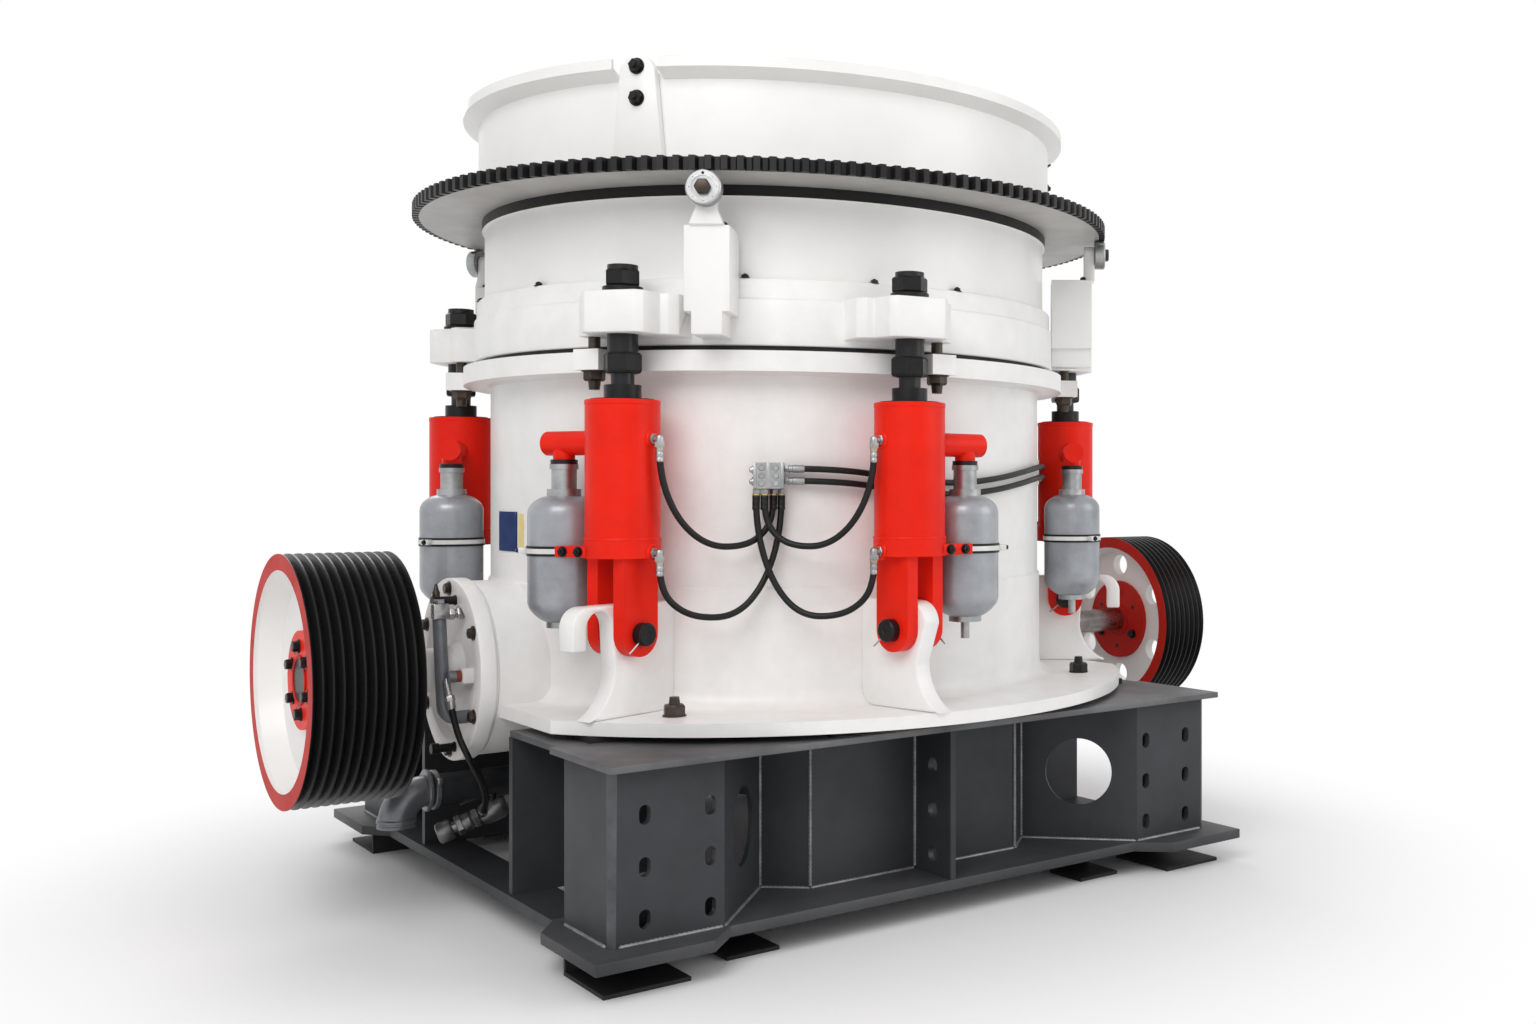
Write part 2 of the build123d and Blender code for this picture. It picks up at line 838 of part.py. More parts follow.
# Release cylinders
with BuildPart() as barrels:
    for pair, side in cylinder_turns:
        x, y = cylinder_place(pair, side)
        with BuildSketch(Plane.XY.offset(barrel_bottom - barrel_collar)):
            with Locations((x, y)):
                Circle(barrel_radius + barrel_collar_lip)
        extrude(amount=barrel_collar + barrel_collar_rise)
        with BuildSketch(Plane.XY.offset(barrel_bottom)):
            with Locations((x, y)):
                Circle(barrel_radius)
        extrude(amount=barrel_top - barrel_bottom)
        plate = half_plane(plate_angle(pair, side), x, y)
        for start in (ear_gap / 2, -ear_gap / 2 - ear_thick):
            with BuildSketch(plate.offset(start)):
                with Locations((0, pin_height)):
                    Circle(ear_radius)
                with Locations((0, (pin_height + barrel_bottom) / 2)):
                    Rectangle(2 * ear_radius, barrel_bottom - pin_height)
                with Locations((0, pin_height)):
                    Circle(pin_radius, mode=Mode.SUBTRACT)
            extrude(amount=ear_thick)
        tee = wall_plane(vessel_angle(pair, side), 0, tee_height)
        with BuildSketch(Plane(origin=(x, y, tee_height), x_dir=tee.x_dir, z_dir=tee.z_dir)):
            Circle(tee_radius)
        extrude(amount=vessel_spacing + tee_past_axis)
        with BuildSketch(Plane.XY.offset(tee_stub_bottom)):
            with Locations(vessel_place(pair, side)):
                Circle(tee_stub_radius)
        extrude(amount=tee_height - tee_stub_bottom)
        with BuildSketch(Plane.XY.offset(barrel_bottom + barrel_floor)):
            with Locations((x, y)):
                Circle(barrel_bore)
        extrude(amount=barrel_top - barrel_bottom - barrel_floor, mode=Mode.SUBTRACT)
save(barrels.part, "cylinder_barrels")

with BuildPart() as glands:
    for pair, side in cylinder_turns:
        with BuildSketch(Plane.XY.offset(barrel_top)):
            with Locations(cylinder_place(pair, side)):
                Circle(barrel_bore + gland_plate_edge)
                Circle(rod_radius + rod_clearance, mode=Mode.SUBTRACT)
        extrude(amount=gland_plate)
        with BuildSketch(Plane.XY.offset(barrel_top + gland_plate)):
            with Locations(cylinder_place(pair, side)):
                Circle(gland_radius)
                Circle(rod_radius + rod_clearance, mode=Mode.SUBTRACT)
        extrude(amount=gland_height - gland_plate)
save(glands.part, "rod_glands")

with BuildPart() as pins:
    length = ear_gap + 2 * ear_thick + 2 * pin_stand_out
    for pair, side in cylinder_turns:
        x, y = cylinder_place(pair, side)
        plate = half_plane(plate_angle(pair, side), x, y)
        with BuildSketch(plate.offset(-length / 2)):
            with Locations((0, pin_height)):
                Circle(pin_radius)
        extrude(amount=length)
save(pins.part, "clevis_pins")

with BuildPart() as vessels:
    for pair, side in cylinder_turns:
        x, y = vessel_place(pair, side)
        lower = vessel_bottom + vessel_lower_dome
        upper = vessel_top - vessel_upper_dome
        with BuildSketch(half_plane(vessel_angle(pair, side), x, y)):
            with BuildLine():
                Line((0, vessel_top), (0, vessel_bottom))
                Line((0, vessel_bottom), (vessel_foot_radius, vessel_bottom))
                Spline(
                    (vessel_foot_radius, vessel_bottom),
                    (vessel_radius * 0.86, vessel_bottom + vessel_lower_dome * 0.45),
                    (vessel_radius, lower),
                    tangents=((1, 0.35), (0, 1)),
                )
                Line((vessel_radius, lower), (vessel_radius, upper))
                Spline(
                    (vessel_radius, upper),
                    (vessel_radius * 0.82, vessel_top - vessel_upper_dome * 0.3),
                    (vessel_collar_radius, vessel_top),
                    tangents=((0, 1), (-1, 0.2)),
                )
                Line((vessel_collar_radius, vessel_top), (0, vessel_top))
            make_face()
        revolve(axis=Axis((x, y, 0), (0, 0, 1)))
save(vessels.part, "accumulators")

with BuildPart() as necks:
    for pair, side in cylinder_turns:
        place = vessel_place(pair, side)
        neck_bottom = vessel_top + vessel_collar_height
        levels = (
            (vessel_bottom - vessel_foot, vessel_foot, vessel_foot_radius),
            (vessel_bottom - vessel_valve_length, vessel_valve_length - vessel_foot, vessel_valve_radius),
            (vessel_top, vessel_collar_height, vessel_collar_radius),
            (neck_bottom, tee_stub_bottom - neck_bottom, vessel_neck_radius),
        )
        for bottom, height, radius in levels:
            with BuildSketch(Plane.XY.offset(bottom)):
                with Locations(place):
                    Circle(radius)
            extrude(amount=height)
        with BuildSketch(Plane.XY.offset(tee_stub_bottom - neck_ring_height)):
            with Locations(place):
                Circle(vessel_neck_radius + 5)
        extrude(amount=neck_ring_height)
save(necks.part, "accumulator_necks")

with BuildPart() as bands:
    for pair, side in cylinder_turns:
        with BuildSketch(Plane.XY.offset(band_bottom)):
            with Locations(vessel_place(pair, side)):
                Circle(vessel_radius + band_clearance + band_thick)
                Circle(vessel_radius + band_clearance, mode=Mode.SUBTRACT)
        extrude(amount=band_height)
save(bands.part, "accumulator_bands")

with BuildPart() as clamps:
    for pair, side in cylinder_turns:
        x, y = cylinder_place(pair, side)
        away = vessel_angle(pair, side)
        c = math.cos(math.radians(away))
        s = math.sin(math.radians(away))
        place = Plane(origin=(x, y, band_bottom - clamp_drop), x_dir=(c, s, 0), z_dir=(0, 0, 1))
        outward = clamp_depth * side * -1
        with BuildSketch(place):
            with Locations((vessel_spacing / 2, outward)):
                Rectangle(vessel_spacing * clamp_share, clamp_depth)
            Circle(barrel_radius + barrel_collar_lip, mode=Mode.SUBTRACT)
            with Locations((vessel_spacing, 0)):
                Circle(vessel_radius + band_clearance + band_thick, mode=Mode.SUBTRACT)
        extrude(amount=clamp_height)
save(clamps.part, "accumulator_clamps")

# Adjustment ring and what it carries
with BuildPart() as seal:
    with BuildSketch(Plane.XY.offset(collar_top)):
        Circle(seal_radius)
        Circle(shell_bore + seal_width_in, mode=Mode.SUBTRACT)
    extrude(amount=seal_height)
save(seal.part, "ring_seal")

with BuildPart() as ring:
    with BuildSketch(Plane.XY.offset(ring_bottom)):
        Circle(ring_radius)
    extrude(amount=ring_height)
    with BuildSketch(Plane.XY.offset(ring_step)):
        Circle(ring_ledge_radius)
    extrude(amount=ring_ledge_height)
    for pair, side in cylinder_turns:
        with BuildSketch(flat_plane(cylinder_angle(pair, side), lug_bottom)):
            with BuildLine():
                Polyline(
                    (ring_bore + lug_root, -lug_wing_width / 2),
                    (lug_wing_reach - lug_wing_corner, -lug_wing_width / 2),
                    (lug_wing_reach, -lug_wing_width / 2 + lug_wing_corner),
                    (lug_wing_reach, -lug_width / 2 - lug_shoulder),
                    (lug_reach - lug_corner, -lug_width / 2),
                    (lug_reach, -lug_width / 2 + lug_corner),
                    (lug_reach, lug_width / 2 - lug_corner),
                    (lug_reach - lug_corner, lug_width / 2),
                    (lug_wing_reach, lug_width / 2 + lug_shoulder),
                    (lug_wing_reach, lug_wing_width / 2 - lug_wing_corner),
                    (lug_wing_reach - lug_wing_corner, lug_wing_width / 2),
                    (ring_bore + lug_root, lug_wing_width / 2),
                    close=True,
                )
            make_face()
            with Locations((cylinder_circle, 0)):
                Circle(rod_thread_radius, mode=Mode.SUBTRACT)
        extrude(amount=lug_thick)
    with BuildSketch(Plane.XY.offset(ring_bottom)):
        Circle(ring_bore)
    extrude(amount=ring_top - ring_bottom, mode=Mode.SUBTRACT)
save(ring.part, "adjustment_ring")

with BuildPart() as rods:
    thread_bottom = lock_nut_bottom
    for pair, side in cylinder_turns:
        place = cylinder_place(pair, side)
        top = lug_top + top_washer + top_nut_height + rod_tip
        levels = (
            (piston_bottom, piston_thick, piston_radius),
            (piston_bottom + piston_thick, thread_bottom - piston_bottom - piston_thick, rod_radius),
            (thread_bottom, top - thread_bottom, rod_thread_radius),
        )
        for bottom, height, radius in levels:
            with BuildSketch(Plane.XY.offset(bottom)):
                with Locations(place):
                    Circle(radius)
            extrude(amount=height)
save(rods.part, "tension_rods")

with BuildPart() as nuts:
    for pair, side in cylinder_turns:
        place = cylinder_place(pair, side)
        for bottom, height, corner in (
            (lock_nut_bottom, lock_nut_height, lock_nut_corner),
            (lug_top + top_washer, top_nut_height, top_nut_corner),
        ):
            with BuildSketch(Plane.XY.offset(bottom)):
                with Locations(place):
                    RegularPolygon(corner, 6, rotation=cylinder_angle(pair, side))
                    Circle(rod_thread_radius, mode=Mode.SUBTRACT)
            extrude(amount=height)
        with BuildSketch(Plane.XY.offset(lug_top)):
            with Locations(place):
                Circle(top_washer_radius)
                Circle(rod_thread_radius, mode=Mode.SUBTRACT)
        extrude(amount=top_washer)
save(nuts.part, "rod_nuts")

with BuildPart() as guides:
    for pair, side in cylinder_turns:
        angle = cylinder_angle(pair, side) + side * guide_lug_turn
        with BuildSketch(flat_plane(angle, collar_top)):
            with Locations((guide_lug_reach - guide_lug_width / 2, 0)):
                Circle(guide_pin_radius)
        extrude(amount=lug_bottom - ring_clearance - collar_top)
save(guides.part, "guide_pins")

roller_inner = roller_circle - roller_width / 2
roller_outer = roller_circle + roller_width / 2
with BuildPart() as roller_brackets:
    for angle in roller_angles:
        with BuildSketch(flat_plane(angle, bracket_box_bottom)):
            with Locations(((ring_bore + bracket_box_root + bracket_box_reach) / 2, 0)):
                Rectangle(bracket_box_reach - ring_bore - bracket_box_root, bracket_box_width)
            Circle(ring_radius, mode=Mode.SUBTRACT)
        extrude(amount=bracket_box_top - bracket_box_bottom)
        with BuildSketch(flat_plane(angle, bracket_tongue_bottom)):
            with Locations(((ring_bore + bracket_box_root + bracket_box_reach) / 2, 0)):
                Rectangle(bracket_box_reach - ring_bore - bracket_box_root, bracket_tongue_width)
            Circle(ring_radius, mode=Mode.SUBTRACT)
        extrude(amount=bracket_box_bottom - bracket_tongue_bottom)
        with BuildSketch(wall_plane(angle, roller_inner - bracket_arm_thick, 0)):
            with BuildLine():
                Polyline(
                    (-bracket_box_width / 2 + bracket_arm_foot, bracket_box_top),
                    (-bracket_arm_width / 2, bracket_box_top + bracket_arm_rise),
                    (-bracket_arm_width / 2, roller_height),
                )
                RadiusArc(
                    (-bracket_arm_width / 2, roller_height),
                    (bracket_arm_width / 2, roller_height),
                    bracket_arm_width / 2,
                )
                Polyline(
                    (bracket_arm_width / 2, roller_height),
                    (bracket_arm_width / 2, bracket_box_top + bracket_arm_rise),
                    (bracket_box_width / 2 - bracket_arm_foot, bracket_box_top),
                )
                Line(
                    (bracket_box_width / 2 - bracket_arm_foot, bracket_box_top),
                    (-bracket_box_width / 2 + bracket_arm_foot, bracket_box_top),
                )
            make_face()
        extrude(amount=bracket_arm_thick - roller_gap)
        with BuildSketch(wall_plane(angle, roller_inner - axle_sink, roller_height)):
            Circle(axle_radius)
        extrude(amount=roller_width + axle_sink + axle_stand_out)
        with BuildSketch(wall_plane(angle, roller_outer + roller_gap, roller_height)):
            RegularPolygon(axle_radius + axle_nut_edge, 6)
        extrude(amount=axle_nut_height)
save(roller_brackets.part, "roller_brackets")

for number, angle in enumerate(roller_angles, 1):
    with BuildPart() as roller:
        with BuildSketch(wall_plane(angle, roller_inner, roller_height)):
            Circle(roller_radius)
            Circle(axle_radius + roller_bore_clearance, mode=Mode.SUBTRACT)
        extrude(amount=roller_width)
        rims = roller.edges().filter_by(GeomType.CIRCLE)
        chamfer(rims.filter_by(lambda edge: edge.radius > axle_radius * 2), roller_chamfer)
    save(roller.part, f"roller_{number}")

# Bowl with its ring gear and hopper
with BuildPart() as bowl:
    with BuildSketch(Plane.XZ):
        with BuildLine():
            Polyline(
                (bowl_radius, gear_bottom),
                (bowl_radius, bowl_bottom),
                (bowl_bore_radius, bowl_bottom),
                (bowl_bore_radius, bowl_skirt_bottom),
                (liner_throat_radius + liner_thick + bowl_lip_width, bowl_lip_bottom),
                (liner_throat_radius + liner_thick + liner_backing, bowl_lip_bottom),
                (chamber_mouth + liner_thick + liner_backing, liner_top - liner_thick),
                (chamber_mouth + liner_thick + bowl_mouth_ledge, liner_top - liner_thick),
                (bowl_radius - bowl_wall, gear_bottom),
                close=True,
            )
        make_face()
    revolve(axis=Axis.Z)
    with BuildSketch(Plane.XY.offset(gear_bottom - bowl_ring_height)):
        Circle(bowl_ring_radius)
        Circle(bowl_radius - bowl_ring_ledge, mode=Mode.SUBTRACT)
    extrude(amount=bowl_ring_height)
save(bowl.part, "bowl")

with BuildPart() as liner:
    with BuildSketch(Plane.XZ):
        with BuildLine():
            Polyline(
                (chamber_mouth, liner_top),
                (chamber_mouth + liner_thick + liner_lip, liner_top),
                (chamber_mouth + liner_thick + liner_lip, liner_top - liner_thick),
                (chamber_mouth + liner_thick, liner_top - liner_thick),
                (liner_throat_radius + liner_thick, liner_bottom + liner_toe),
                (liner_throat_radius + liner_thick, liner_bottom),
                (liner_throat_radius, liner_bottom),
                ((chamber_mouth + liner_throat_radius) / 2 - liner_bow, (liner_top + liner_bottom) / 2),
                close=True,
            )
        make_face()
    revolve(axis=Axis.Z)
save(liner.part, "bowl_liner")

with BuildPart() as gear:
    pitch = 360.0 / gear_teeth
    root = gear_radius - gear_tooth_height
    with BuildSketch(Plane.XY.offset(gear_bottom)):
        corners = []
        for tooth in range(gear_teeth):
            for share, radius in ((-0.34, root), (-0.2, gear_radius), (0.2, gear_radius), (0.34, root)):
                a = math.radians((tooth + share) * pitch)
                corners.append((radius * math.cos(a), radius * math.sin(a)))
        with BuildLine():
            Polyline(*corners, close=True)
        make_face()
        Circle(gear_bore, mode=Mode.SUBTRACT)
    extrude(amount=gear_thick)
save(gear.part, "ring_gear")

with BuildPart() as hopper:
    with BuildSketch(Plane.XZ):
        inside = hopper_radius - hopper_wall
        with BuildLine():
            Polyline(
                (inside, gear_top),
                (hopper_radius, gear_top),
                (hopper_radius, hopper_top - hopper_rim_height - hopper_flare_height),
                (hopper_rim_radius, hopper_top - hopper_rim_height),
                (hopper_rim_radius, hopper_top),
                (hopper_rim_radius - hopper_rim_wall, hopper_top),
                (hopper_rim_radius - hopper_rim_wall, hopper_top - hopper_rim_height + hopper_rim_wall / 2),
                (inside, hopper_top - hopper_rim_height - hopper_rim_wall),
                close=True,
            )
        make_face()
    revolve(axis=Axis.Z)
    for angle in drive_plate_angles:
        with BuildSketch(flat_plane(angle, gear_top)):
            with Locations((hopper_radius + hopper_flare, 0)):
                Rectangle(2 * hopper_flare + drive_plate_gap, drive_plate_top_width + drive_plate_gap)
            Circle(hopper_radius + drive_plate_seat, mode=Mode.SUBTRACT)
        extrude(amount=hopper_height, mode=Mode.SUBTRACT)
save(hopper.part, "hopper")

with BuildPart() as drive_plates:
    for angle in drive_plate_angles:
        with BuildSketch(wall_plane(angle, hopper_radius - drive_plate_sink, gear_top)):
            with BuildLine():
                Polyline(
                    (-drive_plate_width / 2, 0),
                    (drive_plate_width / 2, 0),
                    (drive_plate_top_width / 2, drive_plate_height - drive_plate_shoulder),
                    (drive_plate_top_width / 2 - drive_plate_corner, drive_plate_height),
                    (-drive_plate_top_width / 2 + drive_plate_corner, drive_plate_height),
                    (-drive_plate_top_width / 2, drive_plate_height - drive_plate_shoulder),
                    close=True,
                )
            make_face()
        extrude(amount=drive_plate_thick + drive_plate_sink)
    with BuildSketch(Plane.XY.offset(gear_top)):
        Circle(hopper_radius + drive_plate_seat)
    extrude(amount=drive_plate_height, mode=Mode.SUBTRACT)
save(drive_plates.part, "drive_plates")

# Crushing head
with BuildPart() as mantle:
    with BuildSketch(Plane.XZ):
        with BuildLine():
            middle = (
                (mantle_tip_radius + mantle_radius) / 2 + mantle_bow[0],
                (mantle_top + mantle_bottom) / 2 + mantle_bow[1],
            )
            Polyline(
                (mantle_tip_radius, mantle_top),
                middle,
                (mantle_radius, mantle_bottom + mantle_toe),
                (mantle_radius, mantle_bottom),
                (mantle_radius - mantle_thick, mantle_bottom),
                (middle[0] - mantle_thick, middle[1] - mantle_thick / 2),
                (mantle_tip_radius - mantle_thick, mantle_top - mantle_thick / 2),
                (mantle_tip_radius - mantle_thick, mantle_top),
                close=True,
            )
        make_face()
    revolve(axis=Axis.Z)
save(mantle.part, "mantle")

with BuildPart() as head:
    with BuildSketch(Plane.XZ):
        with BuildLine():
            Polyline(
                (0, mantle_top),
                (mantle_tip_radius - mantle_thick - head_clearance, mantle_top),
                (mantle_tip_radius - mantle_thick - head_clearance, mantle_top - mantle_thick),
                (middle[0] - mantle_thick - 2 * head_clearance, middle[1] - mantle_thick),
                (mantle_radius - mantle_thick - 4 * head_clearance, mantle_bottom),
                (mantle_radius - mantle_thick / 2, mantle_bottom),
                (mantle_radius - mantle_thick / 2, mantle_bottom - head_foot),
                (counterweight_radius, mantle_bottom - head_foot),
                (0, mantle_bottom - head_foot),
                close=True,
            )
        make_face()
    revolve(axis=Axis.Z)
save(head.part, "crushing_head")

with BuildPart() as counterweight:
    with BuildSketch(Plane.XY.offset(hub_top_height)):
        Circle(counterweight_radius)
    extrude(amount=mantle_bottom - head_foot - hub_top_height)
save(counterweight.part, "counterweight")

with BuildPart() as feed_plate:
    with BuildSketch(Plane.XY.offset(mantle_top)):
        Circle(feed_plate_radius)
    extrude(amount=feed_plate_height)
    chamfer(feed_plate.faces().sort_by(Axis.Z)[-1].edges(), feed_plate_chamfer)
save(feed_plate.part, "feed_plate")


# Sheaves
def grooved_rim(outer, grooves, inner, face, away):
    """Outline corners of a grooved rim, from its inner face outwards along the shaft."""
    width = grooves * groove_pitch
    count = round(grooves)
    corners = [(face, inner), (face, outer)]
    for groove in range(count):
        left = face + groove * groove_pitch
        corners.append((left + groove_land / 2, outer))
        corners.append((left + groove_pitch / 2, outer - groove_depth))
        corners.append((left + groove_pitch - groove_land / 2, outer))
    corners.append((face + width, outer))
    corners.append((face + width, inner))
    return [(away * x, drive_height + r) for x, r in corners]


shaft_axis = Axis((0, 0, drive_height), (1, 0, 0))
sheave_outer_face = sheave_inner_face + sheave_grooves * groove_pitch
sheave_web_face = sheave_outer_face - sheave_web_depth
with BuildPart() as sheave:
    with BuildSketch(Plane.XZ):
        with BuildLine():
            Polyline(
                *grooved_rim(sheave_radius, sheave_grooves, sheave_rim_inner, sheave_inner_face, -1),
                (-sheave_outer_face + sheave_dish[0], drive_height + sheave_rim_inner),
                (-sheave_web_face, drive_height + sheave_rim_inner - sheave_dish[1]),
                (-sheave_web_face, drive_height + shaft_radius),
                (-sheave_web_face + sheave_web, drive_height + shaft_radius),
                (-sheave_web_face + sheave_web, drive_height + sheave_rim_inner),
                close=True,
            )
        make_face()
    revolve(axis=shaft_axis)
save(sheave.part, "drive_sheave")

with BuildPart() as sheave_hub:
    with BuildSketch(Plane.YZ.offset(-sheave_web_face - sheave_hub_height)):
        with Locations((0, drive_height)):
            Circle(sheave_hub_radius)
    extrude(amount=sheave_hub_height)
save(sheave_hub.part, "sheave_hub")

shaft_inner_end = housing_reach
with BuildPart() as left_shaft:
    with BuildSketch(Plane.YZ.offset(-sheave_web_face)):
        with Locations((0, drive_height)):
            Circle(shaft_radius)
    extrude(amount=sheave_web_face - shaft_inner_end)
save(left_shaft.part, "sheave_shaft")

pulley_web_face = pulley_inner_face + pulley_web_depth
with BuildPart() as pulley:
    with BuildSketch(Plane.XZ):
        with BuildLine():
            Polyline(
                *grooved_rim(pulley_radius, pulley_grooves, pulley_rim_inner, pulley_inner_face, 1),
                (pulley_web_face + pulley_web, drive_height + pulley_rim_inner),
                (pulley_web_face + pulley_web, drive_height + pulley_shaft_radius),
                (pulley_web_face, drive_height + pulley_shaft_radius),
                (pulley_web_face, drive_height + pulley_rim_inner - pulley_dish[1]),
                (pulley_inner_face + pulley_dish[0], drive_height + pulley_rim_inner),
                close=True,
            )
        make_face()
    revolve(axis=shaft_axis)
    with BuildSketch(Plane.YZ.offset(pulley_web_face - 1)):
        with Locations((0, drive_height)):
            with PolarLocations(pulley_hole_circle, round(pulley_holes), start_angle=30):
                Circle(pulley_hole)
    extrude(amount=pulley_web + 2, mode=Mode.SUBTRACT)
save(pulley.part, "right_pulley")

with BuildPart() as pulley_hub:
    with BuildSketch(Plane.YZ.offset(pulley_web_face - pulley_hub_height)):
        with Locations((0, drive_height)):
            Circle(pulley_hub_radius)
            Circle(pulley_shaft_radius, mode=Mode.SUBTRACT)
    extrude(amount=pulley_hub_height)
save(pulley_hub.part, "pulley_hub")

with BuildPart() as right_shaft:
    with BuildSketch(Plane.YZ.offset(tail_reach)):
        with Locations((0, drive_height)):
            Circle(pulley_shaft_radius)
    extrude(amount=pulley_web_face + pulley_web - tail_reach)
save(right_shaft.part, "pulley_shaft")

# Hydraulic blocks, fittings and hoses
row_left = 34.5
row_right = 66.5
with BuildPart() as manifolds:
    for pair in pair_angles:
        with BuildSketch(flat_plane(pair, manifold_centre - manifold_height / 2)):
            with Locations((shell_radius + manifold_depth / 2 + 5, 0)):
                Rectangle(manifold_depth + 20, manifold_width)
            Circle(shell_radius, mode=Mode.SUBTRACT)
        extrude(amount=manifold_height)
save(manifolds.part, "manifolds")

manifold_low = manifold_centre - manifold_height / 2
adaptor_spots = ((row_left, 13.0), (row_left, 38.0), (row_right, -13.0), (row_right, -38.0))
link_rows = (manifold_centre + 22.0, manifold_centre - 16.0)
link_radius = shell_radius + 26.5
link_sides = {-120.0: (1,), 0.0: (-1, 1), 120.0: (-1,)}
with BuildPart() as fittings:
    for pair, side in cylinder_turns:
        x, y = cylinder_place(pair, side)
        out = port_angle(pair, side)
        for height in (port_high, port_low):
            start = wall_plane(out, 0, height)
            sunk = step_from((x, y), out, barrel_radius - 1)
            with BuildSketch(Plane(origin=(*sunk, height), x_dir=start.x_dir, z_dir=start.z_dir)):
                RegularPolygon(adaptor_corner, 6)
            extrude(amount=port_reach + adaptor_corner)
            with BuildSketch(Plane.XY.offset(height - port_drop)):
                with Locations(port_place(pair, side)):
                    RegularPolygon(adaptor_corner, 6, rotation=out)
            extrude(amount=port_drop)
    for pair in pair_angles:
        for row, along in adaptor_spots:
            with BuildSketch(flat_plane(pair, manifold_low - adaptor_length)):
                with Locations((shell_radius + row, along)):
                    RegularPolygon(adaptor_corner - 2, 6)
            extrude(amount=adaptor_length)
        for side in link_sides[pair]:
            for height in link_rows:
                c = math.cos(math.radians(pair))
                s = math.sin(math.radians(pair))
                origin = (
                    link_radius * c - side * manifold_width / 2 * s,
                    link_radius * s + side * manifold_width / 2 * c,
                    height,
                )
                with BuildSketch(Plane(origin=origin, x_dir=(0, 0, 1), z_dir=(-side * s, side * c, 0))):
                    RegularPolygon(adaptor_corner - 2, 6)
                extrude(amount=adaptor_length)
    with BuildSketch(Plane.XY.offset(port_low - port_drop)):
        with Locations(*[cylinder_place(p, s) for p, s in cylinder_turns]):
            Circle(barrel_radius + barrel_collar_lip)
    extrude(amount=barrel_bottom + barrel_collar_rise - port_low + port_drop, mode=Mode.SUBTRACT)
    with BuildSketch(Plane.XY.offset(port_high - port_drop)):
        with Locations(*[cylinder_place(p, s) for p, s in cylinder_turns]):
            Circle(barrel_radius)
    extrude(amount=2 * port_drop, mode=Mode.SUBTRACT)
save(fittings.part, "hose_fittings")


def hose(points):
    """Solid of a hose along straight runs joined by tangent arcs, with its bend radii."""
    knots = [Vector(*p) for p in points]
    radii = []
    for before, here, after in zip(knots, knots[1:], knots[2:]):
        turn = math.radians((here - before).get_angle(after - here))
        run = min((here - before).length, (after - here).length)
        radii.append(0.45 * run / math.tan(turn / 2))
    path = FilletPolyline(*knots, radius=radii)
    start = Plane(origin=path @ 0, z_dir=path % 0)
    tube = sweep(start * Circle(hose_diameter / 2), path=Wire(path.edges()))
    print(f"  length {path.length:.0f}, radii", " ".join(f"{r:.0f}" for r in radii))
    area = math.pi * hose_diameter**2 / 4
    print(f"  volume over section times length {tube.volume / (area * path.length):.4f}")
    return tube


# One half of a hanging loop as (share of the width, share of the drop), for a low and a tall side.
low_side = ((1.0, 0.29), (0.84, 0.71), (0.4, 1.0))
tall_side = ((1.0, 0.27), (0.73, 0.73), (0.27, 1.0))


def droop(start, end, bottom, turn, sides):
    """Route of a hose that hangs between two downward fittings, lowest at the share turn."""
    points = [start]
    for width, drop in sides[0]:
        f = turn * (1 - width)
        z = start[2] - drop * (start[2] - bottom)
        points.append((start[0] + f * (end[0] - start[0]), start[1] + f * (end[1] - start[1]), z))
    for width, drop in reversed(sides[1]):
        f = 1 - (1 - turn) * (1 - width)
        z = end[2] - drop * (end[2] - bottom)
        points.append((start[0] + f * (end[0] - start[0]), start[1] + f * (end[1] - start[1]), z))
    points.append(end)
    return points


upper_loop = (port_high, 13.0, 1186.0, 0.58, (tall_side, low_side))
lower_loop = (port_low, 38.0, 973.0, 0.48, (low_side, tall_side))
for pair, name in zip(pair_angles, ("front", "right", "rear")):
    c = math.cos(math.radians(pair))
    s = math.sin(math.radians(pair))
    tubes = []
    for side in (-1, 1):
        out = shell_radius + (row_left if side < 0 else row_right)
        for port, along, bottom, turn, sides in (upper_loop, lower_loop):
            print(name, "hose")
            across = -side * along
            end = (out * c - across * s, out * s + across * c, manifold_low - adaptor_length)
            start = (*port_place(pair, side), port - port_drop)
            tubes.append(hose(droop(start, end, bottom, turn, sides)))
    save(Compound(children=[t.solid() for t in tubes]), f"hoses_{name}")

# Link hoses round the shell: angle from the front block, and height over the block's port.
link_route = (
    (12.0, 0.0),
    (24.0, -30.0),
    (36.0, -46.0),
    (48.0, -28.0),
    (60.0, 0.0),
    (72.0, 22.0),
    (84.0, 22.0),
    (96.0, 0.0),
    (108.0, 0.0),
)
link_start = math.degrees(math.atan((manifold_width / 2 + adaptor_length) / link_radius))
for turn, name in ((1, "front"), (-1, "rear")):
    tubes = []
    for height in link_rows:
        points = []
        for along, rise in ((link_start, 0.0), *link_route, (120.0 - link_start, 0.0)):
            straight = min(along, 120.0 - along) <= link_route[0][0]
            stretch = math.cos(math.radians(min(along, 120.0 - along))) if straight else 1.0
            radius = link_radius / stretch
            a = math.radians(turn * (along - 120.0))
            points.append((radius * math.cos(a), radius * math.sin(a), height + rise))
        print(name, "link")
        tubes.append(hose(points))
    save(Compound(children=[t.solid() for t in tubes]), f"link_hoses_{name}")

with BuildPart() as link_clamps:
    for turn in (-1, 1):
        with BuildSketch(flat_plane(turn * link_clamp_angle, link_clamp_height - link_clamp_length / 2)):
            with Locations((shell_radius, 0)):
                Rectangle(link_clamp_width, link_clamp_width)
            Circle(shell_radius, mode=Mode.SUBTRACT)
            Circle(link_clamp_radius, mode=Mode.INTERSECT)
        extrude(amount=link_clamp_length)
save(link_clamps.part, "link_clamps")

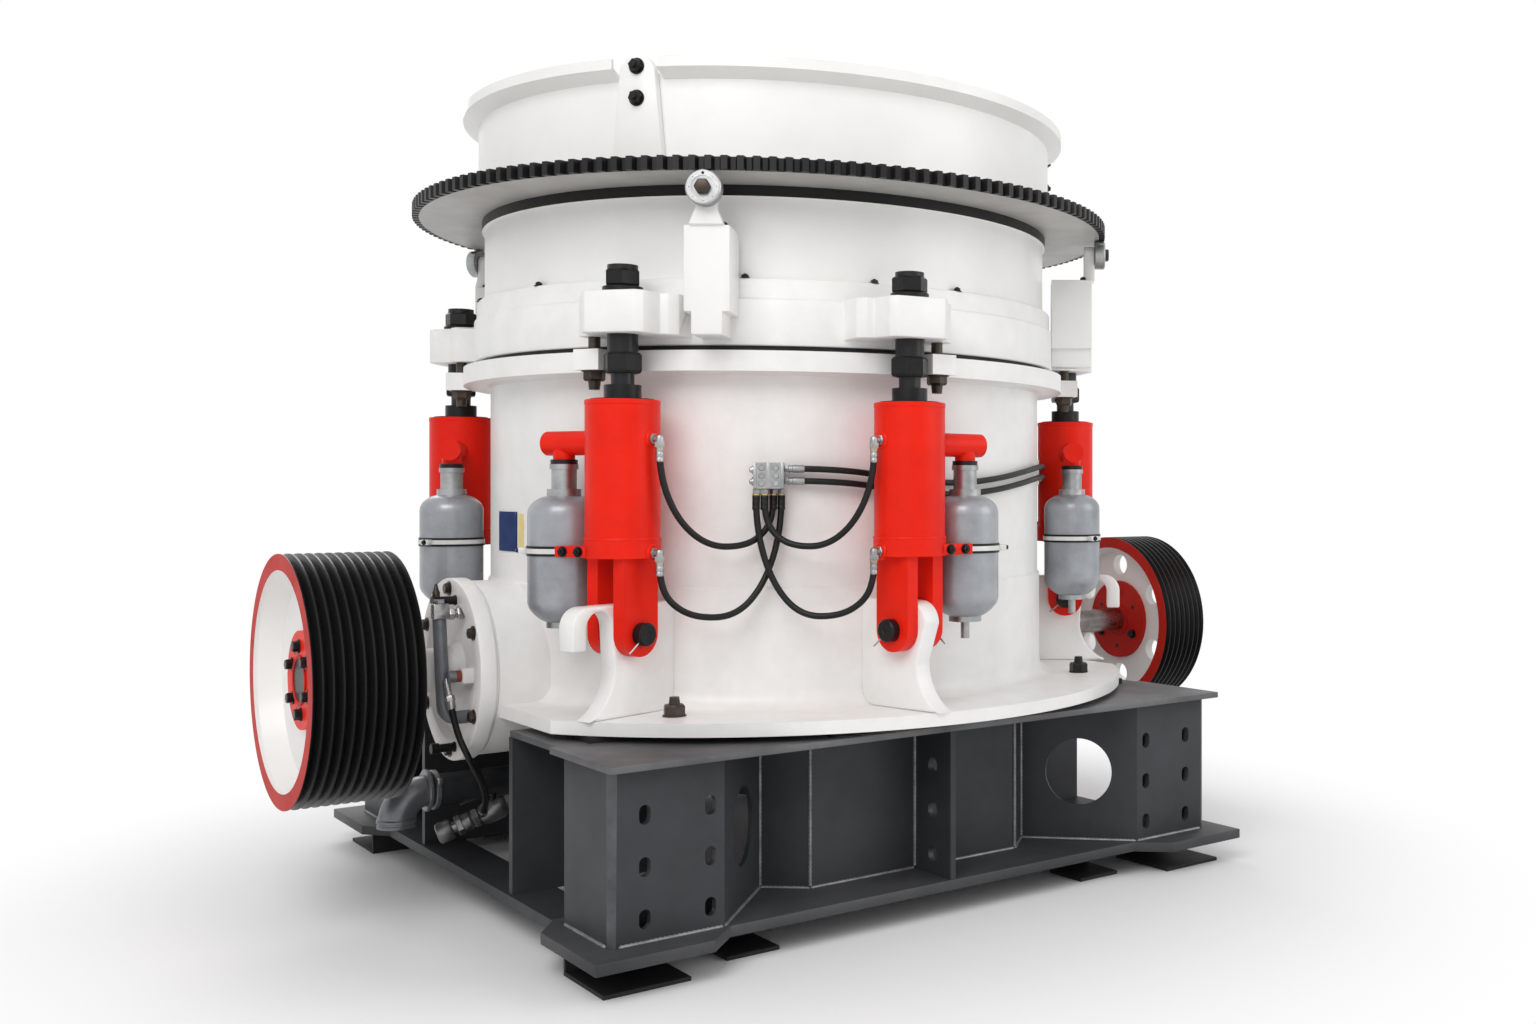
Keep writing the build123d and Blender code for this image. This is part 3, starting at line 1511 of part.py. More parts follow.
# Drain pipe, oil return and the small plates
with BuildPart() as drain:
    with BuildSketch(Plane.YZ.offset(-drain_reach)):
        with Locations((drain_y, drain_height)):
            Circle(drain_radius)
    extrude(amount=drain_reach - hub_foot_radius / 2)
    with BuildSketch(Plane.YZ.offset(-drain_reach - drain_coupling[0])):
        with Locations((drain_y, drain_height)):
            Circle(drain_flange_radius)
    extrude(amount=drain_coupling[1])
    bend_place = (-drain_reach - drain_coupling[0], drain_y, drain_height - drain_bend)
    turn_axis = Axis(bend_place, (0, 1, 0))
    with BuildSketch(Plane.YZ.offset(-drain_reach - drain_coupling[0])):
        with Locations((drain_y, drain_height)):
            Circle(drain_radius)
    revolve(axis=turn_axis, revolution_arc=-90)
    with BuildSketch(Plane.XY.offset(drain_height - drain_bend - drain_drop)):
        with Locations((-drain_reach - drain_coupling[0] - drain_bend, drain_y)):
            Circle(drain_radius + drain_socket)
    extrude(amount=drain_drop)
    with BuildSketch(Plane.XY):
        Circle(hub_foot_radius + ring_clearance)
    extrude(amount=hub_base_height, mode=Mode.SUBTRACT)
save(drain.part, "drain_pipe")

dish_face = -(cover_reach - cover_dish_depth) - ring_clearance
with BuildPart() as oil_pipe:
    foot = (dish_face, oil_pipe_foot[1], oil_pipe_foot[2])
    with BuildLine():
        FilletPolyline(foot, oil_pipe_foot, oil_pipe_top, radius=oil_pipe_bend)
    with BuildSketch(Plane(origin=foot, z_dir=(-1, 0, 0))):
        Circle(oil_pipe_radius)
    sweep()
    with BuildSketch(Plane.XY.offset(oil_pipe_top[2])):
        with Locations(oil_pipe_top[:2]):
            Rectangle(oil_block, oil_block)
    extrude(amount=oil_block, mode=Mode.SUBTRACT)
save(oil_pipe.part, "oil_pipe")

with BuildPart() as oil_fittings:
    with BuildSketch(Plane.XY.offset(oil_pipe_top[2])):
        with Locations(oil_pipe_top[:2]):
            Rectangle(oil_block, oil_block)
    extrude(amount=oil_block)
    with BuildSketch(Plane.YZ.offset(oil_pipe_top[0])):
        with Locations((oil_pipe_top[1], oil_pipe_top[2] + oil_port_rise)):
            Circle(oil_port_radius)
    extrude(amount=dish_face - oil_pipe_top[0])
    with BuildSketch(Plane.YZ.offset(-cover_boss_reach)):
        with Locations(cover_boss_at):
            Rectangle(cover_boss, cover_boss)
    extrude(amount=cover_boss_reach + dish_face)
    with BuildSketch(Plane.YZ.offset(-cover_plug_reach)):
        with Locations(cover_boss_at):
            Circle(cover_plug_radius)
    extrude(amount=cover_plug_reach - cover_boss_reach)
    elbow_run = Vector(*drive_hose_route[0]) - Vector(*drive_hose_route[1])
    with BuildSketch(Plane(origin=drive_hose_route[0], z_dir=elbow_run)):
        Circle(elbow_radius)
    extrude(amount=elbow_length)
save(oil_fittings.part, "oil_fittings")

with BuildPart() as drain_fittings:
    line_run = Vector(*line_top) - Vector(*line_foot)
    with BuildSketch(Plane(origin=line_foot, z_dir=line_run)):
        Circle(line_radius)
    extrude(amount=line_run.length)
    with BuildSketch(Plane(origin=line_foot, z_dir=-line_run)):
        Circle(line_cap_radius)
    extrude(amount=line_cap, both=True)
    with BuildSketch(Plane(origin=valve_at, z_dir=line_run)):
        Circle(valve_radius)
    extrude(amount=valve_radius, both=True)
    branch_run = Vector(*branch_end) - Vector(*branch_at)
    with BuildSketch(Plane(origin=branch_at, z_dir=branch_run)):
        Circle(branch_radius)
    extrude(amount=branch_run.length)
    with BuildSketch(Plane.XY):
        Circle(hub_radius)
    extrude(amount=hub_top_height, mode=Mode.SUBTRACT)
save(drain_fittings.part, "drain_fittings")

print("drive hose")
save(hose(drive_hose_route).solid(), "drive_hose")

with BuildPart() as name_plate:
    with BuildSketch(flat_plane(plate_angle_left, plate_height - plate_size[1] / 2)):
        with Locations((shell_radius, 0)):
            Rectangle(2 * shell_wall, plate_size[0])
        Circle(shell_radius + plate_thick, mode=Mode.INTERSECT)
        Circle(shell_radius, mode=Mode.SUBTRACT)
    extrude(amount=plate_size[1])
save(name_plate.part, "name_plate")
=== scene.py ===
import bpy
import bmesh
import math
from mathutils import Matrix, Vector


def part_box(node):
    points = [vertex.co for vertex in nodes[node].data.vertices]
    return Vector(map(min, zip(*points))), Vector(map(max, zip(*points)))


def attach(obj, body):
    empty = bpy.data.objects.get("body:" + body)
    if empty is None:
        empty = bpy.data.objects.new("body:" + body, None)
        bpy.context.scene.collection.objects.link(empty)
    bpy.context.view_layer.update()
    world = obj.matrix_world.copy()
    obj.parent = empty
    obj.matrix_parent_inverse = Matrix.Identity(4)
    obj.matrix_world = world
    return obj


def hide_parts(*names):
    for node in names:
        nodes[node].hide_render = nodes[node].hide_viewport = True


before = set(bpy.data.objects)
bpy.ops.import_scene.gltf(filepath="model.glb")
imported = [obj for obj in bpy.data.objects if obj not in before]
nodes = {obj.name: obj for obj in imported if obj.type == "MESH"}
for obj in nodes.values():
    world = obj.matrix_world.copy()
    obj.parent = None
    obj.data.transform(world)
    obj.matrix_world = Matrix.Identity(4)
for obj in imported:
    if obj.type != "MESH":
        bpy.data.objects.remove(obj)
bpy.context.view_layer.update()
scene = bpy.context.scene
print("frame loaded,", len(nodes), "nodes")

# studio: camera solved from the photo, pale floor, soft lamps
studio = {
    "cameraPlace": (-2.7999, -4.9925, 1.3575), "cameraTurn": -40.07,
    "sensor": 36.0, "lens": 34.96, "shiftX": -0.1883, "shiftY": -0.0142, "farEnd": 200.0,
    "floorHalf": 60.0, "floorTone": (0.96, 0.96, 0.96, 1.0), "fadeStart": 1.5, "fadeEnd": 2.9,
    "white": (1, 1, 1, 1), "skyLight": 0.5, "lampAim": (0, 0, 1.2),
}
lamps = {  # place, side, power
    "keyLamp": ((-5.5, -5.0, 6.5), 5.0, 330.0),
    "fillLamp": ((5.0, -6.5, 4.0), 5.0, 150.0),
    "rimLamp": ((1.0, 6.5, 6.0), 4.0, 150.0),
}


def linkObject(name, data):
    obj = bpy.data.objects.new(name, data)
    scene.collection.objects.link(obj)
    return obj


def addNode(tree, kind, inputs=None, **settings):
    node = tree.nodes.new(kind)
    for name, value in settings.items():
        setattr(node, name, value)
    for socket, value in (inputs or {}).items():
        node.inputs[socket].default_value = value
    return node


def setCamera():
    lens = bpy.data.cameras.new("photoCamera")
    lens.sensor_width = studio["sensor"]
    lens.lens = studio["lens"]
    lens.shift_x = studio["shiftX"]
    lens.shift_y = studio["shiftY"]
    lens.clip_end = studio["farEnd"]
    camera = linkObject("photoCamera", lens)
    camera.location = studio["cameraPlace"]
    camera.rotation_euler = (math.radians(90.0), 0.0, math.radians(studio["cameraTurn"]))
    scene.camera = camera


def setFloor():
    half = studio["floorHalf"]
    floorMesh = bpy.data.meshes.new("studioFloor")
    corners = [(-half, -half, 0), (half, -half, 0), (half, half, 0), (-half, half, 0)]
    floorMesh.from_pydata(corners, [], [(0, 1, 2, 3)])
    floor = linkObject("studioFloor", floorMesh)
    floor.data.materials.append(floorPaint())


def setLamps():
    for name, (place, side, power) in lamps.items():
        lampData = bpy.data.lights.new(name, "AREA")
        lampData.shape = "SQUARE"
        lampData.size = side
        lampData.energy = power
        lamp = linkObject(name, lampData)
        lamp.location = place
        aim = Vector(studio["lampAim"]) - Vector(place)
        lamp.rotation_euler = aim.to_track_quat("-Z", "Y").to_euler()


def floorPaint():
    material = bpy.data.materials.new("studioFloor")
    material.use_nodes = True
    tree = material.node_tree
    tree.nodes.clear()
    out = addNode(tree, "ShaderNodeOutputMaterial")
    diffuse = addNode(tree, "ShaderNodeBsdfDiffuse", {"Color": studio["floorTone"]})
    glow = addNode(tree, "ShaderNodeEmission", {"Color": studio["white"]})
    rays = addNode(tree, "ShaderNodeLightPath")
    place = addNode(tree, "ShaderNodeTexCoord")
    length = addNode(tree, "ShaderNodeVectorMath", operation="LENGTH")
    reach = {"From Min": studio["fadeStart"], "From Max": studio["fadeEnd"]}
    fade = addNode(tree, "ShaderNodeMapRange", reach, interpolation_type="SMOOTHSTEP")
    seen = addNode(tree, "ShaderNodeMath", operation="MAXIMUM")
    both = addNode(tree, "ShaderNodeMath", operation="MULTIPLY")
    mix = addNode(tree, "ShaderNodeMixShader")
    link = tree.links.new
    link(place.outputs["Object"], length.inputs[0])
    link(length.outputs["Value"], fade.inputs["Value"])
    link(rays.outputs["Is Camera Ray"], seen.inputs[0])
    link(rays.outputs["Is Glossy Ray"], seen.inputs[1])
    link(fade.outputs["Result"], both.inputs[0])
    link(seen.outputs[0], both.inputs[1])
    link(both.outputs[0], mix.inputs["Fac"])
    link(diffuse.outputs[0], mix.inputs[1])
    link(glow.outputs[0], mix.inputs[2])
    link(mix.outputs[0], out.inputs["Surface"])
    return material


def makeSky():
    world = bpy.data.worlds.new("studioSky")
    scene.world = world
    world.use_nodes = True
    tree = world.node_tree
    tree.nodes.clear()
    out = addNode(tree, "ShaderNodeOutputWorld")
    white = studio["white"]
    lightSky = addNode(tree, "ShaderNodeBackground", {"Color": white, "Strength": studio["skyLight"]})
    seenSky = addNode(tree, "ShaderNodeBackground", {"Color": white, "Strength": 1.0})
    rays = addNode(tree, "ShaderNodeLightPath")
    first = addNode(tree, "ShaderNodeMath", operation="MAXIMUM")
    second = addNode(tree, "ShaderNodeMath", operation="MAXIMUM")
    mix = addNode(tree, "ShaderNodeMixShader")
    link = tree.links.new
    link(rays.outputs["Is Camera Ray"], first.inputs[0])
    link(rays.outputs["Is Glossy Ray"], first.inputs[1])
    link(first.outputs[0], second.inputs[0])
    link(rays.outputs["Is Transmission Ray"], second.inputs[1])
    link(second.outputs[0], mix.inputs["Fac"])
    link(lightSky.outputs[0], mix.inputs[1])
    link(seenSky.outputs[0], mix.inputs[2])
    link(mix.outputs[0], out.inputs["Surface"])


makeSky()
setCamera()
setFloor()
setLamps()
scene.view_settings.view_transform = "Standard"
print("studio ready")

# finishes: tone and the darker tone it drifts to, roughness, grain and bump; the rest where it differs
finishBase = {"metal": 0.0, "coat": 0.0, "shine": 0.5, "patch": (0.38, 0.72)}
finishes = {
    "whitePaint": {"tone": (0.9, 0.895, 0.88), "drift": (0.85, 0.845, 0.825), "rough": 0.34,
        "grain": 9.0, "bump": 0.05, "coat": 0.2, "shine": 0.45},
    "castWhite": {"tone": (0.895, 0.89, 0.875), "drift": (0.84, 0.835, 0.815), "rough": 0.4,
        "grain": 30.0, "bump": 0.16, "coat": 0.15, "shine": 0.4},
    "redPaint": {"tone": (0.86, 0.017, 0.004), "drift": (0.74, 0.012, 0.003), "rough": 0.4,
        "grain": 14.0, "bump": 0.06, "coat": 0.04, "shine": 0.16},
    "rimRed": {"tone": (0.55, 0.014, 0.006), "drift": (0.44, 0.01, 0.004), "rough": 0.5,
        "grain": 20.0, "bump": 0.05, "shine": 0.2},
    "baseGrey": {"tone": (0.05, 0.052, 0.057), "drift": (0.03, 0.031, 0.034), "rough": 0.46,
        "metal": 0.15, "grain": 6.0, "bump": 0.16, "shine": 0.3},
    "plateGrey": {"tone": (0.15, 0.15, 0.154), "drift": (0.07, 0.071, 0.075), "rough": 0.5,
        "metal": 0.3, "grain": 5.0, "bump": 0.1, "shine": 0.35, "patch": (0.46, 0.68)},
    "footBlack": {"tone": (0.02, 0.02, 0.021), "drift": (0.01, 0.01, 0.01), "rough": 0.6,
        "grain": 18.0, "bump": 0.1, "shine": 0.3},
    "boltBlack": {"tone": (0.014, 0.014, 0.015), "drift": (0.007, 0.007, 0.0075), "rough": 0.34,
        "metal": 0.3, "grain": 60.0, "bump": 0.05, "shine": 0.3},
    "toothBlack": {"tone": (0.011, 0.011, 0.012), "drift": (0.009, 0.009, 0.01), "rough": 0.4,
        "metal": 0.1, "grain": 40.0, "bump": 0.06, "shine": 0.3},
    "grooveBlack": {"tone": (0.007, 0.007, 0.0075), "drift": (0.007, 0.007, 0.008), "rough": 0.3,
        "grain": 40.0, "bump": 0.04, "shine": 0.22},
    "gearGrey": {"tone": (0.46, 0.45, 0.43), "drift": (0.36, 0.35, 0.33), "rough": 0.45,
        "metal": 0.1, "grain": 12.0, "bump": 0.06, "coat": 0.1},
    "vesselGrey": {"tone": (0.36, 0.375, 0.4), "drift": (0.25, 0.265, 0.29), "rough": 0.34,
        "metal": 0.35, "grain": 22.0, "bump": 0.06, "coat": 0.15},
    "pipeGrey": {"tone": (0.13, 0.14, 0.155), "drift": (0.08, 0.085, 0.095), "rough": 0.42,
        "metal": 0.3, "grain": 25.0, "bump": 0.08},
    "oilGrey": {"tone": (0.2, 0.215, 0.235), "drift": (0.13, 0.14, 0.155), "rough": 0.4,
        "metal": 0.25, "grain": 25.0, "bump": 0.06},
    "drainSilver": {"tone": (0.25, 0.255, 0.27), "drift": (0.13, 0.134, 0.145), "rough": 0.34,
        "metal": 0.6, "grain": 20.0, "bump": 0.1},
    "drainDark": {"tone": (0.06, 0.063, 0.07), "drift": (0.03, 0.032, 0.036), "rough": 0.42,
        "metal": 0.3, "grain": 18.0, "bump": 0.12},
    "soleGrey": {"tone": (0.075, 0.076, 0.08), "drift": (0.038, 0.039, 0.042), "rough": 0.5,
        "metal": 0.2, "grain": 6.0, "bump": 0.14, "shine": 0.3},
    "brightSteel": {"tone": (0.5, 0.5, 0.5), "drift": (0.32, 0.32, 0.32), "rough": 0.24,
        "metal": 1.0, "grain": 50.0, "bump": 0.03},
    "zincSteel": {"tone": (0.42, 0.425, 0.43), "drift": (0.26, 0.265, 0.27), "rough": 0.36,
        "metal": 0.9, "grain": 45.0, "bump": 0.06},
    "rodSteel": {"tone": (0.022, 0.022, 0.024), "drift": (0.02, 0.02, 0.021), "rough": 0.3,
        "metal": 0.4, "grain": 40.0, "bump": 0.04, "shine": 0.3},
    "wearSteel": {"tone": (0.2, 0.19, 0.18), "drift": (0.1, 0.085, 0.075), "rough": 0.55,
        "metal": 0.6, "grain": 14.0, "bump": 0.2},
    "hoseRubber": {"tone": (0.006, 0.006, 0.006), "drift": (0.004, 0.004, 0.004), "rough": 0.42,
        "grain": 90.0, "bump": 0.05, "shine": 0.3},
    "plateBlue": {"tone": (0.009, 0.032, 0.145), "drift": (0.007, 0.024, 0.11), "rough": 0.5,
        "grain": 60.0, "bump": 0.02, "shine": 0.08},
    "strapZinc": {"tone": (0.78, 0.78, 0.755), "drift": (0.62, 0.62, 0.6), "rough": 0.34,
        "metal": 0.15, "grain": 40.0, "bump": 0.05},
    "labelYellow": {"tone": (0.83, 0.68, 0.27), "drift": (0.74, 0.58, 0.2), "rough": 0.45,
        "grain": 60.0, "bump": 0.02, "coat": 0.1},
    "weldGrey": {"tone": (0.3, 0.3, 0.31), "drift": (0.17, 0.17, 0.175), "rough": 0.5, "metal": 0.5,
        "grain": 60.0, "bump": 0.15},
    "goldRing": {"tone": (0.62, 0.46, 0.2), "drift": (0.45, 0.33, 0.15), "rough": 0.3, "metal": 0.9,
        "grain": 60.0, "bump": 0.03},
    "boltBronze": {"tone": (0.075, 0.058, 0.046), "drift": (0.035, 0.027, 0.022), "rough": 0.38,
        "metal": 0.7, "grain": 60.0, "bump": 0.08},
    "valveSteel": {"tone": (0.23, 0.23, 0.23), "drift": (0.1, 0.1, 0.1), "rough": 0.38,
        "metal": 0.85, "grain": 45.0, "bump": 0.12},
    # paintedHighlightGrey: a paler grey on the base wall bends and slot walls, a painted highlight
    "paintedHighlightGrey": {"tone": (0.105, 0.108, 0.114), "drift": (0.05, 0.052, 0.056), "rough": 0.4,
        "metal": 0.4, "grain": 25.0, "bump": 0.1},
    "capBrown": {"tone": (0.25, 0.045, 0.03), "drift": (0.15, 0.03, 0.02), "rough": 0.5,
        "grain": 70.0, "bump": 0.05},
}
paintRule = {
    "coatRough": 0.2, "broadShare": 0.35, "broadDetail": 6.0, "broadRough": 0.62,
    "fineShare": 9.0, "fineDetail": 4.0, "glossLess": 0.08, "glossMore": 0.12, "glossLeast": 0.05,
    "bumpDepth": 0.002,
}


def makeFinish(name):
    values = {**finishBase, **finishes[name]}
    material = bpy.data.materials.new(name)
    material.use_nodes = True
    tree = material.node_tree
    shader = tree.nodes["Principled BSDF"]
    shader.inputs["Metallic"].default_value = values["metal"]
    shader.inputs["Coat Weight"].default_value = values["coat"]
    shader.inputs["Coat Roughness"].default_value = paintRule["coatRough"]
    shader.inputs["Specular IOR Level"].default_value = values["shine"]
    place = addNode(tree, "ShaderNodeTexCoord")
    broad = addNode(tree, "ShaderNodeTexNoise", {
        "Scale": values["grain"] * paintRule["broadShare"], "Detail": paintRule["broadDetail"],
        "Roughness": paintRule["broadRough"],
    })
    fineScale = values["grain"] * paintRule["fineShare"]
    fine = addNode(tree, "ShaderNodeTexNoise", {"Scale": fineScale, "Detail": paintRule["fineDetail"]})
    low, high = values["patch"]
    spread = addNode(tree, "ShaderNodeMapRange", {"From Min": low, "From Max": high})
    tones = {"A": (*values["tone"], 1.0), "B": (*values["drift"], 1.0)}
    tone = addNode(tree, "ShaderNodeMix", tones, data_type="RGBA")
    gloss = addNode(tree, "ShaderNodeMapRange", {
        "To Min": max(paintRule["glossLeast"], values["rough"] - paintRule["glossLess"]),
        "To Max": values["rough"] + paintRule["glossMore"],
    })
    depth = {"Strength": values["bump"], "Distance": paintRule["bumpDepth"]}
    bump = addNode(tree, "ShaderNodeBump", depth)
    link = tree.links.new
    link(place.outputs["Object"], broad.inputs["Vector"])
    link(place.outputs["Object"], fine.inputs["Vector"])
    link(broad.outputs[0], spread.inputs["Value"])
    link(spread.outputs["Result"], tone.inputs["Factor"])
    link(tone.outputs["Result"], shader.inputs["Base Color"])
    link(broad.outputs[0], gloss.inputs["Value"])
    link(gloss.outputs["Result"], shader.inputs["Roughness"])
    link(fine.outputs[0], bump.inputs["Height"])
    link(bump.outputs["Normal"], shader.inputs["Normal"])
    return material


finish = {name: makeFinish(name) for name in finishes}
print("finishes ready,", len(finish))

# which carried-over nodes each finish covers
finishNodes = {
    "footBlack": ("base_feet", "frame_pads", "ring_seal"),
    "soleGrey": ("base_bottom_plates",),
    "baseGrey": ("base_side_sills", "base_webs", "base_cross_plates", "frame_hub"),
    "plateGrey": ("base_top_plates",),
    "castWhite": ("frame_shell", "drive_covers", "cylinder_brackets", "adjustment_ring", "link_clamps"),
    "whitePaint": ("hopper", "drive_plates"),
    "redPaint": ("cylinder_barrels", "accumulator_clamps", "sheave_hub"),
    "rimRed": ("pulley_hub",),
    "boltBronze": ("guide_pins",),
    "boltBlack": ("clevis_pins", "rod_nuts", "rod_glands"),
    "rodSteel": ("tension_rods",),
    "brightSteel": ("sheave_shaft", "pulley_shaft"),
    "zincSteel": (
        "manifolds", "accumulator_necks", "accumulator_bands", "hose_fittings",
        "roller_1", "roller_2", "roller_3", "roller_4",
    ),
    "valveSteel": ("oil_fittings", "drain_fittings"),
    "vesselGrey": ("accumulators",),
    "pipeGrey": ("drain_pipe",),
    "oilGrey": ("oil_pipe",),
    "wearSteel": ("bowl_liner", "mantle", "crushing_head", "feed_plate", "counterweight"),
    "plateBlue": ("name_plate",),
}


def paintNode(node, names, choose=lambda center, normal: 0):
    data = nodes[node].data
    data.materials.clear()
    for name in names:
        data.materials.append(finish[name])
    for face in data.polygons:
        face.material_index = choose(face.center, face.normal)


for name, covered in finishNodes.items():
    for node in covered:
        paintNode(node, (name,))

# nodes in two or three finishes: where the second and third begin, in metres
driveHeight = 0.775
toneEdge = {
    "flat": 0.97, "steep": 0.5, "sheaveRim": 0.338, "sheaveGrooves": 0.345,
    "pulleyRim": 0.323, "pulleyGrooves": 0.33, "teeth": 1.229, "gearEdge": 1.1, "gearBand": 1.18,
    "bowlRing": 1.008, "bowlRingFoot": 2.268,
    "rollerHeight": 2.2473, "pinRise": 0.03, "pinReach": 1.2515,
    "cornerBend": 1.12, "bent": 0.2, "wallOuter": 1.126, "stripStart": 0.81, "stripEnd": 1.08,
    "stripAcross": 0.3, "stripLevel": 0.98,
}


def grooveFace(rim, grooves):
    def choose(center, normal):
        radius = math.hypot(center.y, center.z - driveHeight)
        if radius > rim and abs(normal.x) > toneEdge["flat"]:
            return 1
        return 2 if radius > grooves else 0
    return choose


def gearFace(center, normal):
    radius = math.hypot(center.x, center.y)
    side = abs(normal.z) < toneEdge["steep"] and radius > toneEdge["gearEdge"]
    top = normal.z > toneEdge["steep"] and radius > toneEdge["gearBand"]
    return int(radius > toneEdge["teeth"] or side or top)


def bowlFace(center, normal):
    outside = math.hypot(center.x, center.y) > toneEdge["bowlRing"]
    return int(center.z > toneEdge["bowlRingFoot"] and outside)


def bracketFace(center, normal):
    outside = math.hypot(center.x, center.y) > toneEdge["pinReach"]
    return int(abs(center.z - toneEdge["rollerHeight"]) < toneEdge["pinRise"] and outside)


# the bends at the base corners and the slot walls of the front wall take the paler grey: a painted highlight
def wallHighlightFace(center, normal):
    x, y = abs(center.x), abs(center.y)
    if min(abs(normal.x), abs(normal.y)) > toneEdge["bent"] and x > toneEdge["cornerBend"]:
        return 1
    strip = toneEdge["stripStart"] < x < toneEdge["stripEnd"] and y > toneEdge["wallOuter"]
    edgeOn = abs(normal.y) < toneEdge["stripAcross"] and abs(normal.z) < toneEdge["stripLevel"]
    return int(strip and edgeOn)


sheaveTones = ("whitePaint", "rimRed", "grooveBlack")
paintNode("drive_sheave", sheaveTones, grooveFace(toneEdge["sheaveRim"], toneEdge["sheaveGrooves"]))
paintNode("right_pulley", sheaveTones, grooveFace(toneEdge["pulleyRim"], toneEdge["pulleyGrooves"]))
paintNode("ring_gear", ("gearGrey", "toothBlack"), gearFace)
paintNode("bowl", ("whitePaint", "toothBlack"), bowlFace)
paintNode("roller_brackets", ("whitePaint", "boltBronze"), bracketFace)
# base corner walls: paler grey on the bends and slot walls, a painted highlight
paintNode("base_corner_walls", ("baseGrey", "paintedHighlightGrey"), wallHighlightFace)
print("nodes painted")

# shared places on the machine
up = Vector((0, 0, 1))
outLeft = (-1, 0, 0)
outRight = (1, 0, 0)
shellRadius = 0.9955
cylinders = {
    "circle": 1.162, "half": 21.75, "portReach": 0.14, "portTurn": 55.0, "ports": (1.511, 1.171),
    "vesselTurn": 102.0, "vesselReach": 0.225,
}
pairAngles = {"front": -120.0, "right": 0.0, "rear": 120.0}
cylinderTurns = [(pair, side) for pair in pairAngles.values() for side in (-1, 1)]


def around(radius, degrees):
    return radius * math.cos(math.radians(degrees)), radius * math.sin(math.radians(degrees))


def heading(degrees):
    return Vector((*around(1.0, degrees), 0.0))


def cylinderPlace(pair, side):
    return around(cylinders["circle"], pair + side * cylinders["half"])


def portPlace(pair, side):
    x, y = cylinderPlace(pair, side)
    dx, dy = around(cylinders["portReach"], pair - side * cylinders["portTurn"])
    return x + dx, y + dy


def vesselTurn(pair, side):
    return pair + side * (cylinders["half"] + cylinders["vesselTurn"])


def driveRing(x, radius, first, count):
    ring = []
    for i in range(count):
        y, z = around(radius, first + 360.0 * i / count)
        ring.append(Vector((x, y, driveHeight + z)))
    return ring


# shape helpers: every piece starts as one bmesh and ends on a body
nutShape = {"under": 0.93, "top": 0.88, "bevel": 0.12}
facets = {
    "nut": 6, "mark": 10, "rivet": 12, "hole": 16, "fitting": 20, "plug": 24, "boss": 28, "washer": 32,
    "pin": 36, "pipe": 40, "rim": 48, "barrel": 64,
}


def poseAlong(place, axis, turn=0.0):
    facing = Vector(axis).to_track_quat("Z", "Y").to_matrix().to_4x4()
    return Matrix.Translation(place) @ facing @ Matrix.Rotation(turn, 4, "Z")


def disc(radius, low, high):
    return [(0, low), (radius, low), (radius, high), (0, high)]


def band(inner, outer, low, high):
    return [(inner, low), (outer, low), (outer, high), (inner, high)]


def nutProfile(corner, height):
    under, top = corner * nutShape["under"], corner * nutShape["top"]
    foot, shoulder = height * nutShape["bevel"], height * (1 - nutShape["bevel"])
    return [(0, 0), (under, 0), (corner, foot), (corner, shoulder), (top, height), (0, height)]


def wall(mesh, low, high):
    for i in range(len(low)):
        j = (i + 1) % len(low)
        mesh.faces.new((low[i], low[j], high[j], high[i]))


def spin(mesh, place, axis, profile, steps=24, turn=0.0, ring=False):
    pose = poseAlong(place, axis, turn)
    rings = []
    for radius, height in profile:
        count = 1 if radius == 0 else steps
        spots = [Vector((*around(radius, 360.0 * i / steps), height)) for i in range(count)]
        rings.append([mesh.verts.new(pose @ spot) for spot in spots])
    if ring:
        rings.append(rings[0])
    for low, high in zip(rings, rings[1:]):
        if len(low) > 1 and len(high) > 1:
            wall(mesh, low, high)
            continue
        for i in range(steps):
            j = (i + 1) % steps
            mesh.faces.new((low[0], high[j], high[i]) if len(low) == 1 else (low[i], low[j], high[0]))


def sweep(mesh, path, radii, steps=28):
    rings = []
    side = (path[1] - path[0]).orthogonal()
    for index, (place, radius) in enumerate(zip(path, radii)):
        ahead = (path[min(index + 1, len(path) - 1)] - path[max(index - 1, 0)]).normalized()
        side = (side - ahead * side.dot(ahead)).normalized()
        across = ahead.cross(side)
        turns = [around(radius, 360.0 * i / steps) for i in range(steps)]
        rings.append([mesh.verts.new(place + side * a + across * b) for a, b in turns])
    for low, high in zip(rings, rings[1:]):
        wall(mesh, low, high)
    mesh.faces.new(rings[0][::-1])
    mesh.faces.new(rings[-1])


def block(mesh, place, size, turn=0.0, edge=0.002):
    turned = Matrix.Translation(place) @ Matrix.Rotation(math.radians(turn), 4, "Z")
    made = bmesh.ops.create_cube(mesh, size=1.0, matrix=turned @ Matrix.Diagonal((*size, 1.0)))
    edges = list(dict.fromkeys(e for v in made["verts"] for e in v.link_edges))
    bmesh.ops.bevel(mesh, geom=edges, offset=edge, segments=2, profile=0.5, affect="EDGES")


def setPiece(name, mesh, body, finishName, replaced=(), sharp=32.0):
    data = bpy.data.meshes.new(name)
    mesh.to_mesh(data)
    mesh.free()
    piece = linkObject(name, data)
    piece.data.materials.append(finish[finishName])
    data.shade_smooth()
    data.set_sharp_from_angle(angle=math.radians(sharp))
    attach(piece, body)
    if replaced:
        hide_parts(*replaced)
    return piece


def turnedPiece(name, body, finishName, place, axis, profile, steps, replaced=(), ring=False):
    mesh = bmesh.new()
    spin(mesh, place, axis, profile, steps, ring=ring)
    return setPiece(name, mesh, body, finishName, replaced)


# bolts: one node tree sets a washer, a chamfered head and a stud on each point
boltShape = {"washerSides": 20, "headSides": 6, "studSides": 12, "body": 0.8, "crown": 0.86, "tip": 0.85}
boltInputs = (
    "Corner Radius", "Head Height", "Washer Radius", "Washer Thickness", "Stud Radius", "Stud Length",
)


